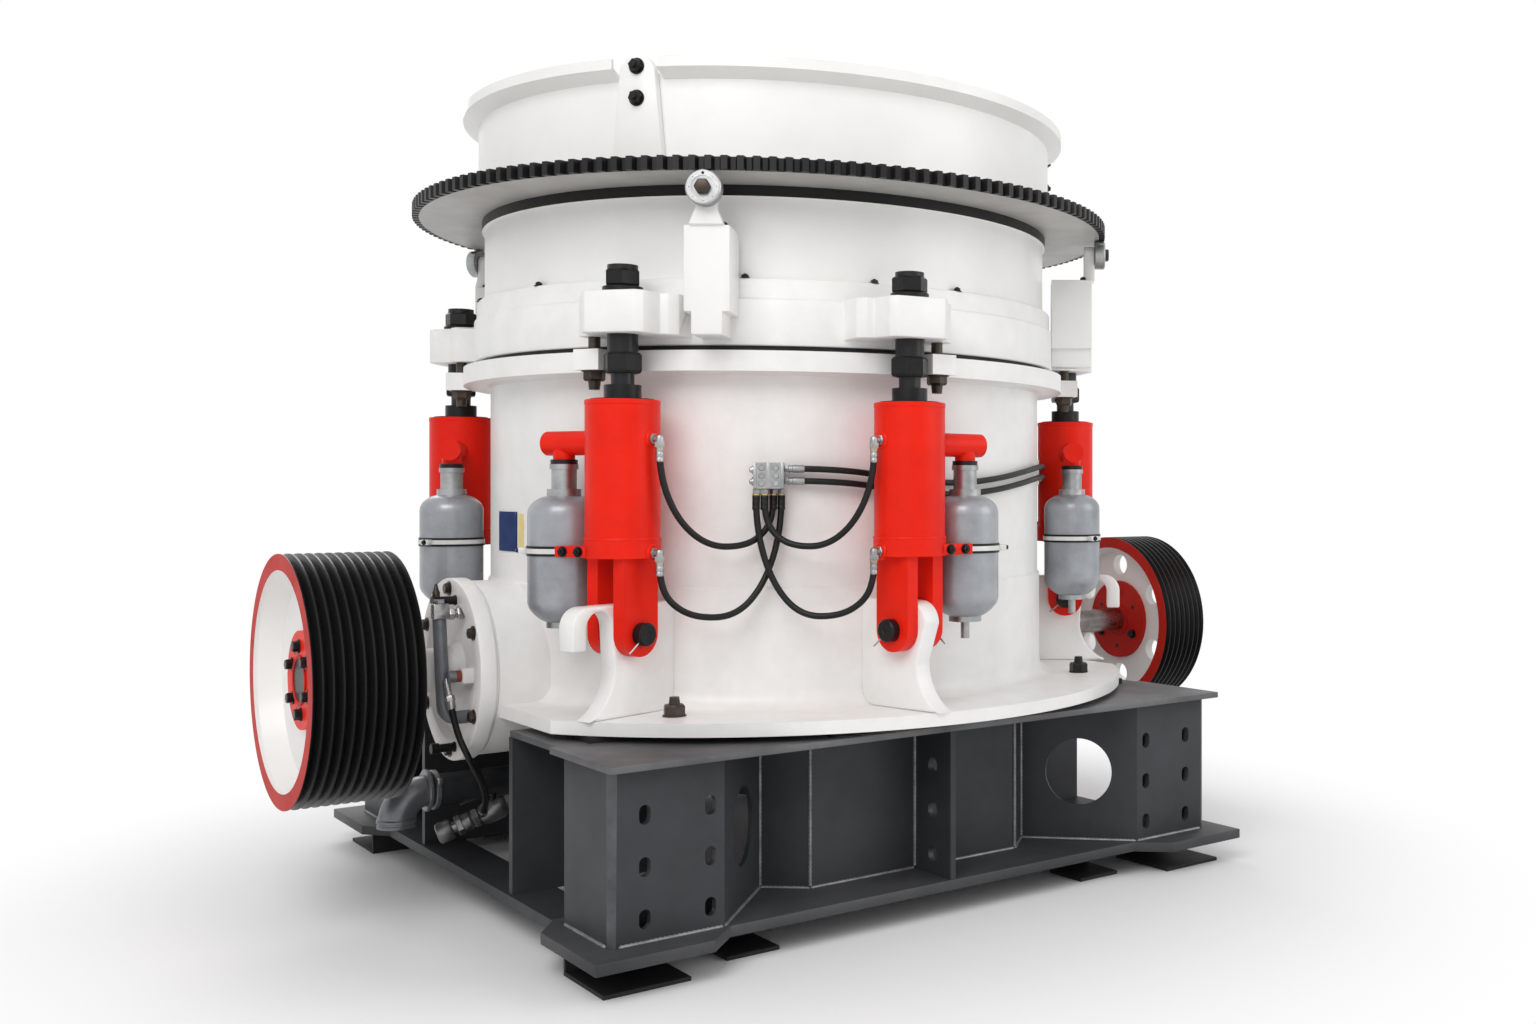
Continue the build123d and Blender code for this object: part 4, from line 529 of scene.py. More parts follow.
def growBolts():
    tree = bpy.data.node_groups.new("hexBolts", "GeometryNodeTree")
    sockets = tree.interface
    sockets.new_socket("Geometry", in_out="INPUT", socket_type="NodeSocketGeometry")
    for label in boltInputs:
        sockets.new_socket(label, in_out="INPUT", socket_type="NodeSocketFloat")
    sockets.new_socket("Finish", in_out="INPUT", socket_type="NodeSocketMaterial")
    sockets.new_socket("Geometry", in_out="OUTPUT", socket_type="NodeSocketGeometry")
    link = tree.links.new
    value = addNode(tree, "NodeGroupInput").outputs
    result = addNode(tree, "NodeGroupOutput")

    def scaled(socket, factor):
        product = addNode(tree, "ShaderNodeMath", {1: factor}, operation="MULTIPLY")
        link(socket, product.inputs[0])
        return product.outputs[0]

    def total(first, second):
        added = addNode(tree, "ShaderNodeMath", operation="ADD")
        link(first, added.inputs[0])
        link(second, added.inputs[1])
        return added.outputs[0]

    def turned(sides, low, high, depth, lift=None):
        cone = addNode(tree, "GeometryNodeMeshCone", {"Vertices": sides})
        link(low, cone.inputs["Radius Bottom"])
        link(high, cone.inputs["Radius Top"])
        link(depth, cone.inputs["Depth"])
        if lift is None:
            return cone.outputs["Mesh"]
        moved = addNode(tree, "GeometryNodeTransform")
        offset = addNode(tree, "ShaderNodeCombineXYZ")
        link(lift, offset.inputs["Z"])
        link(cone.outputs["Mesh"], moved.inputs["Geometry"])
        link(offset.outputs[0], moved.inputs["Translation"])
        return moved.outputs["Geometry"]

    corner, stud = value["Corner Radius"], value["Stud Radius"]
    washer, thick = value["Washer Radius"], value["Washer Thickness"]
    body = scaled(value["Head Height"], boltShape["body"])
    crown = scaled(value["Head Height"], 1.0 - boltShape["body"])
    shoulder = total(thick, body)
    crownTop = scaled(corner, boltShape["crown"])
    studTop = scaled(stud, boltShape["tip"])
    joined = addNode(tree, "GeometryNodeJoinGeometry")
    for part in (
        turned(boltShape["washerSides"], washer, washer, thick),
        turned(boltShape["headSides"], corner, corner, body, thick),
        turned(boltShape["headSides"], corner, crownTop, crown, shoulder),
        turned(boltShape["studSides"], stud, studTop, value["Stud Length"], total(shoulder, crown)),
    ):
        link(part, joined.inputs[0])
    facing = addNode(tree, "GeometryNodeInputNamedAttribute", data_type="FLOAT_VECTOR")
    facing.inputs["Name"].default_value = "turn"
    rotation = addNode(tree, "FunctionNodeEulerToRotation")
    link(facing.outputs["Attribute"], rotation.inputs[0])
    spread = addNode(tree, "GeometryNodeInstanceOnPoints")
    link(value["Geometry"], spread.inputs["Points"])
    link(joined.outputs[0], spread.inputs["Instance"])
    link(rotation.outputs[0], spread.inputs["Rotation"])
    solid = addNode(tree, "GeometryNodeRealizeInstances")
    link(spread.outputs["Instances"], solid.inputs[0])
    paint = addNode(tree, "GeometryNodeSetMaterial")
    link(solid.outputs[0], paint.inputs["Geometry"])
    link(value["Finish"], paint.inputs["Material"])
    link(paint.outputs[0], result.inputs[0])
    return tree


boltTree = growBolts()
boltSizes = {  # corner radius, head height, washer share, washer thickness, stud share, stud length
    "driveBolts": (0.021, 0.018, 1.2, 0.004, 0.5, 0.010),
    "ringBolts": (0.0115, 0.009, 1.3, 0.002, 0.5, 0.003),
    "coverBolts": (0.018, 0.014, 1.3, 0.003, 0.0, 0.0),
    "anchorNuts": (0.034, 0.032, 1.04, 0.004, 0.5, 0.022),
    "anchorNutFront": (0.034, 0.032, 1.04, 0.004, 0.5, 0.022),
    "guideNuts": (0.033, 0.028, 1.15, 0.004, 0.58, 0.026),
    "armBolts": (0.0125, 0.01, 1.3, 0.0025, 0.5, 0.004),
    "sheaveBolts": (0.017, 0.016, 1.25, 0.004, 0.0, 0.0),
    "pulleyBolts": (0.016, 0.015, 1.25, 0.004, 0.0, 0.0),
    "strapScrews": (0.007, 0.006, 1.3, 0.0015, 0.0, 0.0),
}
boltTurns = {"first": 11.0, "step": 37.0, "sharp": 35.0}  # each head stands a little differently


def setBolts(name, body, finishName, spots):
    points = bpy.data.meshes.new(name + "Points")
    points.from_pydata([tuple(place) for place, axis in spots], [], [])
    facing = points.attributes.new("turn", "FLOAT_VECTOR", "POINT")
    for index, (place, axis) in enumerate(spots):
        turn = math.radians(boltTurns["first"] + boltTurns["step"] * index)
        facing.data[index].vector = poseAlong((0, 0, 0), axis, turn).to_euler()
    holder = linkObject(name, points)
    grow = holder.modifiers.new("hexBolts", "NODES")
    grow.node_group = boltTree
    corner, height, washer, thick, stud, length = boltSizes[name]
    sizes = dict(zip(boltInputs, (corner, height, corner * washer, thick, corner * stud, length)))
    sizes["Finish"] = finish[finishName]
    for item in boltTree.interface.items_tree:
        if item.in_out == "INPUT" and item.name in sizes:
            grow[item.identifier] = sizes[item.name]
    bpy.context.view_layer.update()
    grown = holder.evaluated_get(bpy.context.evaluated_depsgraph_get())
    solid = bpy.data.meshes.new_from_object(grown)
    bpy.data.objects.remove(holder)
    piece = linkObject(name, solid)
    solid.materials.clear()
    solid.materials.append(finish[finishName])
    solid.shade_smooth()
    solid.set_sharp_from_angle(angle=math.radians(boltTurns["sharp"]))
    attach(piece, body)
    return piece


# castings and plates with their sharp edges eased: body, finish and width of the edge
easedEdges = {
    "adjustment_ring": ("adjustment", "castWhite", 0.004),
    "cylinder_brackets": ("frame", "castWhite", 0.006),
    "drive_plates": ("bowl", "whitePaint", 0.004),
    "accumulator_clamps": ("frame", "redPaint", 0.003),
    "base_top_plates": ("frame", "plateGrey", 0.0022),
    "base_bottom_plates": ("frame", "soleGrey", 0.0025),
    "drive_covers": ("frame", "castWhite", 0.002),
    "roller_brackets": ("adjustment", "whitePaint", 0.0035),
}
easeRule = {"merge": 2e-5, "flat": math.radians(0.5), "sharp": math.radians(32), "smooth": 24.0}


def easeNode(node, body, finishName, width):
    mesh = bmesh.new()
    mesh.from_mesh(nodes[node].data)
    bmesh.ops.remove_doubles(mesh, verts=mesh.verts, dist=easeRule["merge"])
    everything = {"verts": mesh.verts, "edges": mesh.edges}
    bmesh.ops.dissolve_limit(mesh, angle_limit=easeRule["flat"], delimit={"NORMAL"}, **everything)
    folds = [e for e in mesh.edges if len(e.link_faces) == 2]
    sharp = [e for e in folds if e.calc_face_angle(0) > easeRule["sharp"]]
    rounding = {"segments": 2, "profile": 0.5, "affect": "EDGES", "clamp_overlap": False}
    bmesh.ops.bevel(mesh, geom=sharp, offset=width, **rounding)
    bmesh.ops.triangulate(mesh, faces=mesh.faces)
    piece = setPiece("eased_" + node, mesh, body, finishName, (node,), easeRule["smooth"])
    if node == "roller_brackets":
        piece.data.materials.append(finish["boltBronze"])
        for face in piece.data.polygons:
            face.material_index = bracketFace(face.center, face.normal)


for node, (body, finishName, width) in easedEdges.items():
    easeNode(node, body, finishName, width)
print("edges eased")

# bolt groups: angle, reach and height of each, in degrees and metres
bolts = {
    "plateAngles": (-142.0, -22.0, 98.0), "plateFace": 1.065, "plateHeights": (2.562, 2.660),
    "bracketAngles": (-128.6, -38.6, 38.6, 128.6), "bracketReach": 1.168, "bracketTop": 2.145,
    "bracketHalf": 0.046,
    "ledgeAngles": (-165.0, -124.0, -101.5, -84.0, 165.0, 124.0, 101.5, 84.0), "ledgeReach": 1.03,
    "ledgeTop": 2.0113,
    "coverFace": -1.187, "coverCircle": 0.263, "coverFirst": 149.5, "coverCount": 6,
    "tailFace": 1.160, "tailCircle": 0.122, "tailFirst": 30.0, "tailCount": 6,
    "anchorAngles": (-133.9, -43.2, 43.2, 133.9), "anchorReach": 1.152, "anchorTop": 0.680,
    "lugReach": 1.124, "lugTurn": 6.0, "lugUnder": 1.722,
    "armHeight": 1.174, "armAlong": (0.083, 0.142), "armFace": 0.099,
    "hubFace": -1.6336, "hubCircle": 0.104, "hubFirst": 23.3, "hubCount": 6,
    "pulleyFace": 1.752, "pulleyCircle": 0.12, "pulleyFirst": 90.0, "pulleyCount": 3,
}


def boltRing(part, axis):
    face, circle = bolts[part + "Face"], bolts[part + "Circle"]
    ring = driveRing(face, circle, bolts[part + "First"], bolts[part + "Count"])
    return [(place, axis) for place in ring]


spots = []
for angle in bolts["plateAngles"]:
    out = heading(angle)
    spots += [(out * bolts["plateFace"] + up * height, out) for height in bolts["plateHeights"]]
setBolts("driveBolts", "bowl", "boltBlack", spots)

spots = []
for angle in bolts["bracketAngles"]:
    for side in (-1, 1):
        across = heading(angle + 90.0) * side * bolts["bracketHalf"]
        foot = heading(angle) * bolts["bracketReach"] + across
        spots.append((foot + up * bolts["bracketTop"], up))
for angle in bolts["ledgeAngles"]:
    spots.append((heading(angle) * bolts["ledgeReach"] + up * bolts["ledgeTop"], up))
setBolts("ringBolts", "adjustment", "boltBlack", spots)

setBolts("coverBolts", "frame", "boltBronze", boltRing("cover", outLeft) + boltRing("tail", outRight))

spots = []
for angle in bolts["anchorAngles"]:
    spots.append((heading(angle) * bolts["anchorReach"] + up * bolts["anchorTop"], up))
setBolts("anchorNuts", "frame", "boltBronze", spots[:1] + spots[2:])
setBolts("anchorNutFront", "frame", "boltBlack", spots[1:2])

spots = []
for pair, side in cylinderTurns:
    angle = pair + side * (cylinders["half"] + bolts["lugTurn"])
    spots.append((heading(angle) * bolts["lugReach"] + up * bolts["lugUnder"], -up))
setBolts("guideNuts", "frame", "boltBronze", spots)

spots = []
for pair, side in cylinderTurns:
    x, y = cylinderPlace(pair, side)
    away = vesselTurn(pair, side)
    face = heading(away + 90.0) * -side
    for along in bolts["armAlong"]:
        foot = Vector((x, y, bolts["armHeight"])) + heading(away) * along
        spots.append((foot + face * bolts["armFace"], face))
setBolts("armBolts", "frame", "boltBlack", spots)

setBolts("sheaveBolts", "sheave", "boltBlack", boltRing("hub", outLeft))
setBolts("pulleyBolts", "pulley", "boltBlack", boltRing("pulley", outLeft))
print("bolts set")

# hub faces: a turned lip, and flat black discs for the deep centre and the jack holes between the bolts,
# painted shade
hub = {
    "lip": [(0.066, -0.004), (0.078, -0.004), (0.078, 0.004), (0.074, 0.006), (0.066, 0.004)],
    "centre": [(0, -0.002), (0.064, -0.002), (0.064, 0.0015), (0.055, 0.0012), (0, 0.0008)],
    "pulleyLip": [(0.068, -0.002), (0.074, -0.002), (0.073, 0.003), (0.069, 0.003)],
    "jackFirst": 53.3, "jackRadius": 0.008, "dishFace": -1.6136, "dishCircle": 0.21, "dishRadius": 0.007,
    "pulleyJackFirst": 30.0, "pulleyJackRadius": 0.009, "sunk": -0.001, "proud": 0.0008,
}
hubCentre = (bolts["hubFace"], 0, driveHeight)
pulleyCentre = (bolts["pulleyFace"], 0, driveHeight)


# a flat black disc at each hole instead of a hole: painted shade
def holeShadeDiscs(mesh, places, radius):
    for place in places:
        spin(mesh, place, outLeft, disc(radius, hub["sunk"], hub["proud"]), facets["hole"])


turnedPiece("sheaveLip", "sheave", "rimRed", hubCentre, outLeft, hub["lip"], facets["rim"], ring=True)
# flat black disc over the sheave hub centre and at its jack and dish holes: painted shade
mesh = bmesh.new()
spin(mesh, hubCentre, outLeft, hub["centre"], facets["pipe"])
jacks = driveRing(bolts["hubFace"], bolts["hubCircle"], hub["jackFirst"], 3)
holeShadeDiscs(mesh, jacks, hub["jackRadius"])
holeShadeDiscs(mesh, driveRing(hub["dishFace"], hub["dishCircle"], 0.0, 2), hub["dishRadius"])
setPiece("sheaveHoleShade", mesh, "sheave", "boltBlack")
lip = hub["pulleyLip"]
turnedPiece("pulleyLip", "pulley", "rimRed", pulleyCentre, outLeft, lip, facets["rim"], ring=True)
# flat black discs at the pulley's jack holes: painted shade
mesh = bmesh.new()
jacks = driveRing(bolts["pulleyFace"], bolts["pulleyCircle"], hub["pulleyJackFirst"], 3)
holeShadeDiscs(mesh, jacks, hub["pulleyJackRadius"])
setPiece("pulleyHoleShade", mesh, "pulley", "boltBlack")

# rod nuts, with their threads showing
rod = {
    "lockFoot": 1.709, "lockHeight": 0.061, "lockCorner": 0.0585, "lockTurn": (0.3, 0.4),
    "washerFoot": 1.950, "washerTop": 1.968,
    "washer": [(0, 0), (0.058, 0), (0.060, 0.002), (0.060, 0.016), (0.058, 0.018), (0, 0.018)],
    "topHeight": 0.051, "topCorner": 0.0555, "topTurn": (0.1, 0.5),
    "thread": 0.0452, "threadDepth": 0.0022, "chamfer": 0.004, "pitch": 0.0045,
    "threads": ((1.771, 1.826), (2.0195, 2.033)),
}


def threadProfile(low, high):
    crest, pitch = rod["thread"], rod["pitch"]
    outline = [(0, low)]
    for i in range(int((high - low) / pitch)):
        foot = low + i * pitch
        outline += [(crest - rod["threadDepth"], foot), (crest, foot + pitch * 0.5)]
    return outline + [(crest - rod["chamfer"], high), (0, high)]


mesh = bmesh.new()
threads = bmesh.new()
lockNut = nutProfile(rod["lockCorner"], rod["lockHeight"])
topNut = nutProfile(rod["topCorner"], rod["topHeight"])
for number, (pair, side) in enumerate(cylinderTurns):
    x, y = cylinderPlace(pair, side)
    first, step = rod["lockTurn"]
    spin(mesh, (x, y, rod["lockFoot"]), up, lockNut, facets["nut"], first + step * number)
    spin(mesh, (x, y, rod["washerFoot"]), up, rod["washer"], facets["pin"])
    first, step = rod["topTurn"]
    spin(mesh, (x, y, rod["washerTop"]), up, topNut, facets["nut"], first + step * number)
    for low, high in rod["threads"]:
        spin(threads, (x, y, 0), up, threadProfile(low, high), facets["boss"])
setPiece("rodNuts", mesh, "adjustment", "boltBlack", ("rod_nuts",), 25.0)
setPiece("rodThreads", threads, "adjustment", "rodSteel")

# vessels: a bright strap over a rubber lining, its closing block and screw, a black collar on the neck
straps = {
    "foot": 1.1660, "strap": band(0.1075, 0.1116, 0, 0.015),
    "liningFoot": 1.1585, "lining": band(0.1065, 0.1104, 0, 0.030),
    "collar": band(0.034, 0.0405, -0.001, 0.014),
    "blockTurn": 35.0, "blockReach": 0.121, "blockHeight": 1.1735, "block": (0.022, 0.034, 0.019),
    "blockEdge": 0.0025, "screwReach": 0.132, "steps": 56, "collarSteps": 40,
}
mesh = bmesh.new()
lining = bmesh.new()
collars = bmesh.new()
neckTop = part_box("accumulator_necks")[1].z
screws = []
for pair, side in cylinderTurns:
    x, y = cylinderPlace(pair, side)
    away = vesselTurn(pair, side)
    centre = Vector((x, y, 0)) + heading(away) * cylinders["vesselReach"]
    steps = straps["steps"]
    spin(mesh, centre + up * straps["foot"], up, straps["strap"], steps, ring=True)
    spin(collars, centre + up * neckTop, up, straps["collar"], straps["collarSteps"], ring=True)
    spin(lining, centre + up * straps["liningFoot"], up, straps["lining"], steps, ring=True)
    turn = away - side * straps["blockTurn"]
    face = heading(turn)
    middle = centre + face * straps["blockReach"] + up * straps["blockHeight"]
    block(mesh, middle, straps["block"], turn, straps["blockEdge"])
    screws.append((centre + face * straps["screwReach"] + up * straps["blockHeight"], face))
setPiece("vesselStraps", mesh, "frame", "strapZinc", ("accumulator_bands",))
setPiece("neckCollars", collars, "frame", "boltBlack")
setPiece("strapLinings", lining, "frame", "hoseRubber", ("accumulator_bands",))
setBolts("strapScrews", "frame", "boltBlack", screws)

# hose ends: boss, nipple, elbow, nut and crimped ferrule
hoseEnd = {
    "ferrule": [
        (0, 0), (0.0105, 0), (0.0128, 0.003), (0.0128, 0.012), (0.0118, 0.014), (0.0128, 0.016),
        (0.0128, 0.028), (0.0118, 0.030), (0.0128, 0.032), (0.0128, 0.043), (0.011, 0.046), (0, 0.046),
    ],
    "elbow": [(0, 0), (0.0125, 0.001), (0.0125, 0.013), (0.0117, 0.018), (0.009, 0.0225), (0, 0.0265)],
    "elbowNut": [(0, 0.010), (0.0152, 0.010), (0.0152, 0.025), (0.0138, 0.027), (0, 0.027)],
    "boss": [(0, 0), (0.026, 0), (0.026, 0.008), (0.023, 0.012), (0.018, 0.013), (0, 0.013)],
    "linkEnd": [
        (0, 0), (0.0125, 0), (0.0125, 0.004), (0.0105, 0.005), (0.0105, 0.012), (0.0125, 0.013),
        (0.0125, 0.046), (0.011, 0.049), (0, 0.049),
    ],
    "ring": disc(0.0134, 0, 0.003), "footRing": disc(0.0122, 0, 0.004),
    "portNut": nutProfile(0.0165, 0.012), "footNut": nutProfile(0.0118, 0.016),
    "linkNut": nutProfile(0.0118, 0.014), "nipple": 0.0105, "barrelFeet": (0.1085, 0.1115),
    "portShare": 0.95, "footShare": 0.93, "bossSunk": 0.006, "elbowBack": 0.013, "ringDown": 0.030,
    "ferruleDown": 0.070, "nutUp": 0.014, "footRingUp": 0.010, "sleeveDown": 0.036,
    "rows": {-1: 0.0345, 1: 0.0665}, "alongs": (0.013, 0.038), "footHeight": 1.332,
    "linkRadius": 1.022, "linkHeights": (1.424, 1.386), "linkFoot": 0.046,
    "linkSides": {"front": (1,), "right": (-1, 1), "rear": (-1,)},
}


def manifoldFoot(pair, side, along):
    c, s = around(1.0, pair)
    out = shellRadius + hoseEnd["rows"][side]
    across = -side * along
    return out * c - across * s, out * s + across * c, hoseEnd["footHeight"]


def ferruleProfile(share):
    return [(radius * share, height) for radius, height in hoseEnd["ferrule"]]


fittings = bmesh.new()
sleeves = bmesh.new()
rings = bmesh.new()
bosses = bmesh.new()
reach = cylinders["portReach"]
for pair, side in cylinderTurns:
    x, y = cylinderPlace(pair, side)
    out = heading(pair - side * cylinders["portTurn"])
    for height, foot in zip(cylinders["ports"], hoseEnd["barrelFeet"]):
        start = Vector((x, y, height))
        spin(fittings, start + out * foot, out, hoseEnd["portNut"], facets["nut"])
        spin(fittings, start + out * foot, out, disc(hoseEnd["nipple"], 0, reach - foot), facets["fitting"])
        elbow = start + out * reach
        spin(fittings, elbow - up * hoseEnd["elbowBack"], up, hoseEnd["elbow"], facets["fitting"])
        spin(fittings, elbow, -up, hoseEnd["elbowNut"], facets["nut"])
        ferruleFoot = elbow - up * hoseEnd["ferruleDown"]
        spin(fittings, ferruleFoot, up, ferruleProfile(hoseEnd["portShare"]), facets["fitting"])
        spin(bosses, start + out * (foot - hoseEnd["bossSunk"]), out, hoseEnd["boss"], facets["boss"])
        spin(rings, elbow - up * hoseEnd["ringDown"], up, hoseEnd["ring"], facets["fitting"])
for pairName, pair in pairAngles.items():
    c, s = around(1.0, pair)
    for side in (-1, 1):
        for along in hoseEnd["alongs"]:
            foot = Vector(manifoldFoot(pair, side, along))
            sleeveFoot = foot - up * hoseEnd["sleeveDown"]
            spin(fittings, foot + up * hoseEnd["nutUp"], up, hoseEnd["footNut"], facets["nut"])
            spin(sleeves, sleeveFoot, up, ferruleProfile(hoseEnd["footShare"]), facets["fitting"])
            spin(rings, foot + up * hoseEnd["footRingUp"], up, hoseEnd["footRing"], facets["fitting"])
    for side in hoseEnd["linkSides"][pairName]:
        away = Vector((-side * s, side * c, 0))
        for height in hoseEnd["linkHeights"]:
            root = Vector((hoseEnd["linkRadius"] * c, hoseEnd["linkRadius"] * s, height))
            foot = root + away * hoseEnd["linkFoot"]
            spin(fittings, foot, away, hoseEnd["linkNut"], facets["nut"])
            spin(fittings, foot + away * hoseEnd["nutUp"], away, hoseEnd["linkEnd"], facets["fitting"])
setPiece("hoseFittings", fittings, "frame", "zincSteel", ("hose_fittings",))
setPiece("portBosses", bosses, "frame", "redPaint")
setPiece("hoseSleeves", sleeves, "frame", "boltBlack", ("hose_fittings",))
setPiece("hoseRings", rings, "frame", "goldRing")

# manifolds: lands beside two upright grooves, plugs in the grooves and on the left end
manifold = {
    "face": 1.0805, "height": 1.402, "lands": ((-0.041, 0.010), (0.0, 0.014), (0.041, 0.010)),
    "landDepth": 0.008, "landTall": 0.079, "landEdge": 0.0012, "plugTurns": (-0.0215, 0.0215),
    "plugRises": (-0.024, 0.0, 0.024), "plugSunk": 0.0005, "endReach": 1.045, "endAcross": -0.046,
    "endRises": (-0.018, 0.018),
    "plug": [
        (0, 0), (0.0095, 0), (0.0095, 0.003), (0.008, 0.0045), (0.0042, 0.0045), (0.0042, 0.002), (0, 0.002),
    ],
    "endPlug": [
        (0, 0), (0.0135, 0), (0.0135, 0.004), (0.0105, 0.005), (0.009, 0.010), (0.005, 0.013), (0, 0.014),
    ],
}
lands = bmesh.new()
plugs = bmesh.new()
for pair in pairAngles.values():
    out = heading(pair)
    across = heading(pair + 90.0)
    face = out * manifold["face"] + up * manifold["height"]
    for along, width in manifold["lands"]:
        size = (manifold["landDepth"], width, manifold["landTall"])
        block(lands, face + across * along, size, pair, manifold["landEdge"])
    for along in manifold["plugTurns"]:
        for rise in manifold["plugRises"]:
            foot = face + across * along + up * rise - out * manifold["plugSunk"]
            spin(plugs, foot, out, manifold["plug"], facets["fitting"])
    if pair == pairAngles["front"]:
        for rise in manifold["endRises"]:
            end = out * manifold["endReach"] + across * manifold["endAcross"]
            end += up * (manifold["height"] + rise)
            spin(plugs, end, -across, manifold["endPlug"], facets["plug"])
setPiece("manifoldLands", lands, "frame", "zincSteel")
setPiece("manifoldPlugs", plugs, "frame", "brightSteel")

# clevis pin ends: turned face, keeper groove and a bent split pin
pin = {
    "height": 0.928, "turn": 71.25, "reach": 0.1035, "fall": 0.62, "spread": 0.78,
    "end": [
        (0, -0.004), (0.0353, -0.004), (0.0353, -0.0005), (0.031, 0.003), (0.012, 0.003), (0.010, 0.001),
        (0, 0.001),
    ],
    "split": [(0, 0), (0.0028, 0), (0.0028, 0.046), (0.0015, 0.052), (0, 0.053)],
    "splitBack": 0.010, "splitDown": 0.020, "splitOut": 0.022,
}
pins = bmesh.new()
splits = bmesh.new()
for pair, side in cylinderTurns:
    x, y = cylinderPlace(pair, side)
    along = heading(pair + side * cylinders["half"] - side * pin["turn"])
    for end in (-1, 1):
        face = Vector((x, y, pin["height"])) + along * end * pin["reach"]
        spin(pins, face, along * end, pin["end"], facets["pin"])
        outward = along.cross(up) * end
        bent = (-up * pin["fall"] + outward * pin["spread"]).normalized()
        root = face - along * end * pin["splitBack"] - up * pin["splitDown"]
        spin(splits, root + outward * pin["splitOut"], bent, pin["split"], facets["mark"])
setPiece("pinEnds", pins, "frame", "boltBlack")
setPiece("splitPins", splits, "frame", "brightSteel")

# barrels: a weld ring over the collar and a rounded lip at the top
barrel = {
    "weldHeight": 1.206,
    "weld": [(0.109, 0), (0.1128, 0.001), (0.1140, 0.005), (0.1128, 0.009), (0.109, 0.011)],
    "lipHeight": 1.612, "lip": [(0.1095, 0), (0.1112, 0.0015), (0.1112, 0.013), (0.1095, 0.0155)],
}
weldRings = bmesh.new()
for pair, side in cylinderTurns:
    x, y = cylinderPlace(pair, side)
    for part in ("weld", "lip"):
        spin(weldRings, (x, y, barrel[part + "Height"]), up, barrel[part], facets["barrel"], ring=True)
setPiece("barrelWelds", weldRings, "frame", "redPaint")

# black breather and plug on the drive cover
breather = {
    "face": -1.186, "spots": ((-0.059, 1.003, True), (-0.052, 0.529, False)),
    "body": [
        (0, 0), (0.0165, 0), (0.0165, 0.006), (0.0135, 0.009), (0.0135, 0.050), (0.0175, 0.053),
        (0.0175, 0.073), (0.0155, 0.076), (0, 0.076),
    ],
    "stemAt": (-0.062, 0, 0.010),
    "stem": [(0, 0), (0.0115, 0), (0.0115, 0.018), (0.009, 0.022), (0.0035, 0.045), (0, 0.046)],
}
breathers = bmesh.new()
stems = bmesh.new()
for y, z, hasStem in breather["spots"]:
    foot = Vector((breather["face"], y, z))
    spin(breathers, foot, outLeft, breather["body"], facets["plug"])
    if hasStem:
        spin(stems, foot + Vector(breather["stemAt"]), up, breather["stem"], facets["fitting"])
setPiece("coverBreathers", breathers, "frame", "boltBlack")
setPiece("breatherStem", stems, "frame", "boltBronze")

# oil fittings on the drive cover: square boss, washer and plug, elbow to the hose, swivel on the pipe
oil = {
    "boss": (-0.151, 0.768), "bossSide": 0.046, "bossRise": 0.015, "bossEdge": 0.003, "dish": -1.165,
    "washer": [(0, 0), (0.0185, 0), (0.0185, 0.017), (0.0165, 0.019), (0, 0.019)],
    "plug": [(0, 0), (0.0195, 0), (0.0195, 0.021), (0.0175, 0.024), (0.008, 0.025), (0, 0.025)],
    "elbow": (
        (-1.214, -0.140, 0.762), (-1.229, -0.135, 0.765), (-1.239, -0.136, 0.758), (-1.2415, -0.141, 0.743),
        (-1.240, -0.147, 0.724), (-1.237, -0.152, 0.704),
    ),
    "elbowRadii": (0.0095, 0.0105, 0.0115, 0.0115, 0.011, 0.011), "hoseTop": (-1.232, -0.158, 0.672),
    "sleeve": [(0, 0), (0.0135, 0), (0.0135, 0.022), (0.012, 0.026), (0, 0.026)],
    "swivel": (-1.245, -0.080, 0.971), "swivelSide": 0.050, "swivelEdge": 0.005, "portHeight": 0.961,
    "portRadius": 0.014, "washerSunk": 0.001, "plugOut": 0.017, "nutBack": 0.004, "sleeveShare": 0.4,
    "hoseNut": nutProfile(0.0155, 0.018), "topNut": nutProfile(0.019, 0.014), "topNutUp": 0.024,
    "portNut": nutProfile(0.0205, 0.018), "portNutAt": 0.028, "coverNut": nutProfile(0.0205, 0.020),
}
dish = oil["dish"]
bossFace = bolts["coverFace"] - oil["bossRise"]
bossY, bossZ = oil["boss"]
mesh = bmesh.new()
size = (dish - bossFace, oil["bossSide"], oil["bossSide"])
block(mesh, (bossFace + (dish - bossFace) / 2, bossY, bossZ), size, 0.0, oil["bossEdge"])
setPiece("coverBoss", mesh, "frame", "castWhite", ("oil_fittings",))
washerPlace = (bossFace + oil["washerSunk"], bossY, bossZ)
washer = (washerPlace, outLeft, oil["washer"], facets["washer"])
turnedPiece("bossWasher", "frame", "capBrown", *washer, ("oil_fittings",))
plugPlace = (bossFace - oil["plugOut"], bossY, bossZ)
plug = (plugPlace, outLeft, oil["plug"], facets["washer"])
turnedPiece("bossPlug", "frame", "drainSilver", *plug, ("oil_fittings",))
mesh = bmesh.new()
elbow = [Vector(place) for place in oil["elbow"]]
sweep(mesh, elbow, oil["elbowRadii"], facets["plug"])
drop = Vector(oil["hoseTop"]) - elbow[-1]
spin(mesh, elbow[-1] + up * oil["nutBack"], drop, oil["hoseNut"], facets["nut"])
spin(mesh, elbow[-1] + drop * oil["sleeveShare"], drop, oil["sleeve"], facets["plug"])
setPiece("oilElbow", mesh, "frame", "brightSteel", ("oil_fittings",))
mesh = bmesh.new()
x, y, z = oil["swivel"]
port = oil["portHeight"]
block(mesh, (x, y, z), (oil["swivelSide"],) * 3, 0.0, oil["swivelEdge"])
spin(mesh, (x, y, z + oil["topNutUp"]), up, oil["topNut"], facets["nut"])
spin(mesh, (x, y, port), outRight, disc(oil["portRadius"], 0, dish - x), facets["plug"])
spin(mesh, (x + oil["portNutAt"], y, port), outRight, oil["portNut"], facets["nut"])
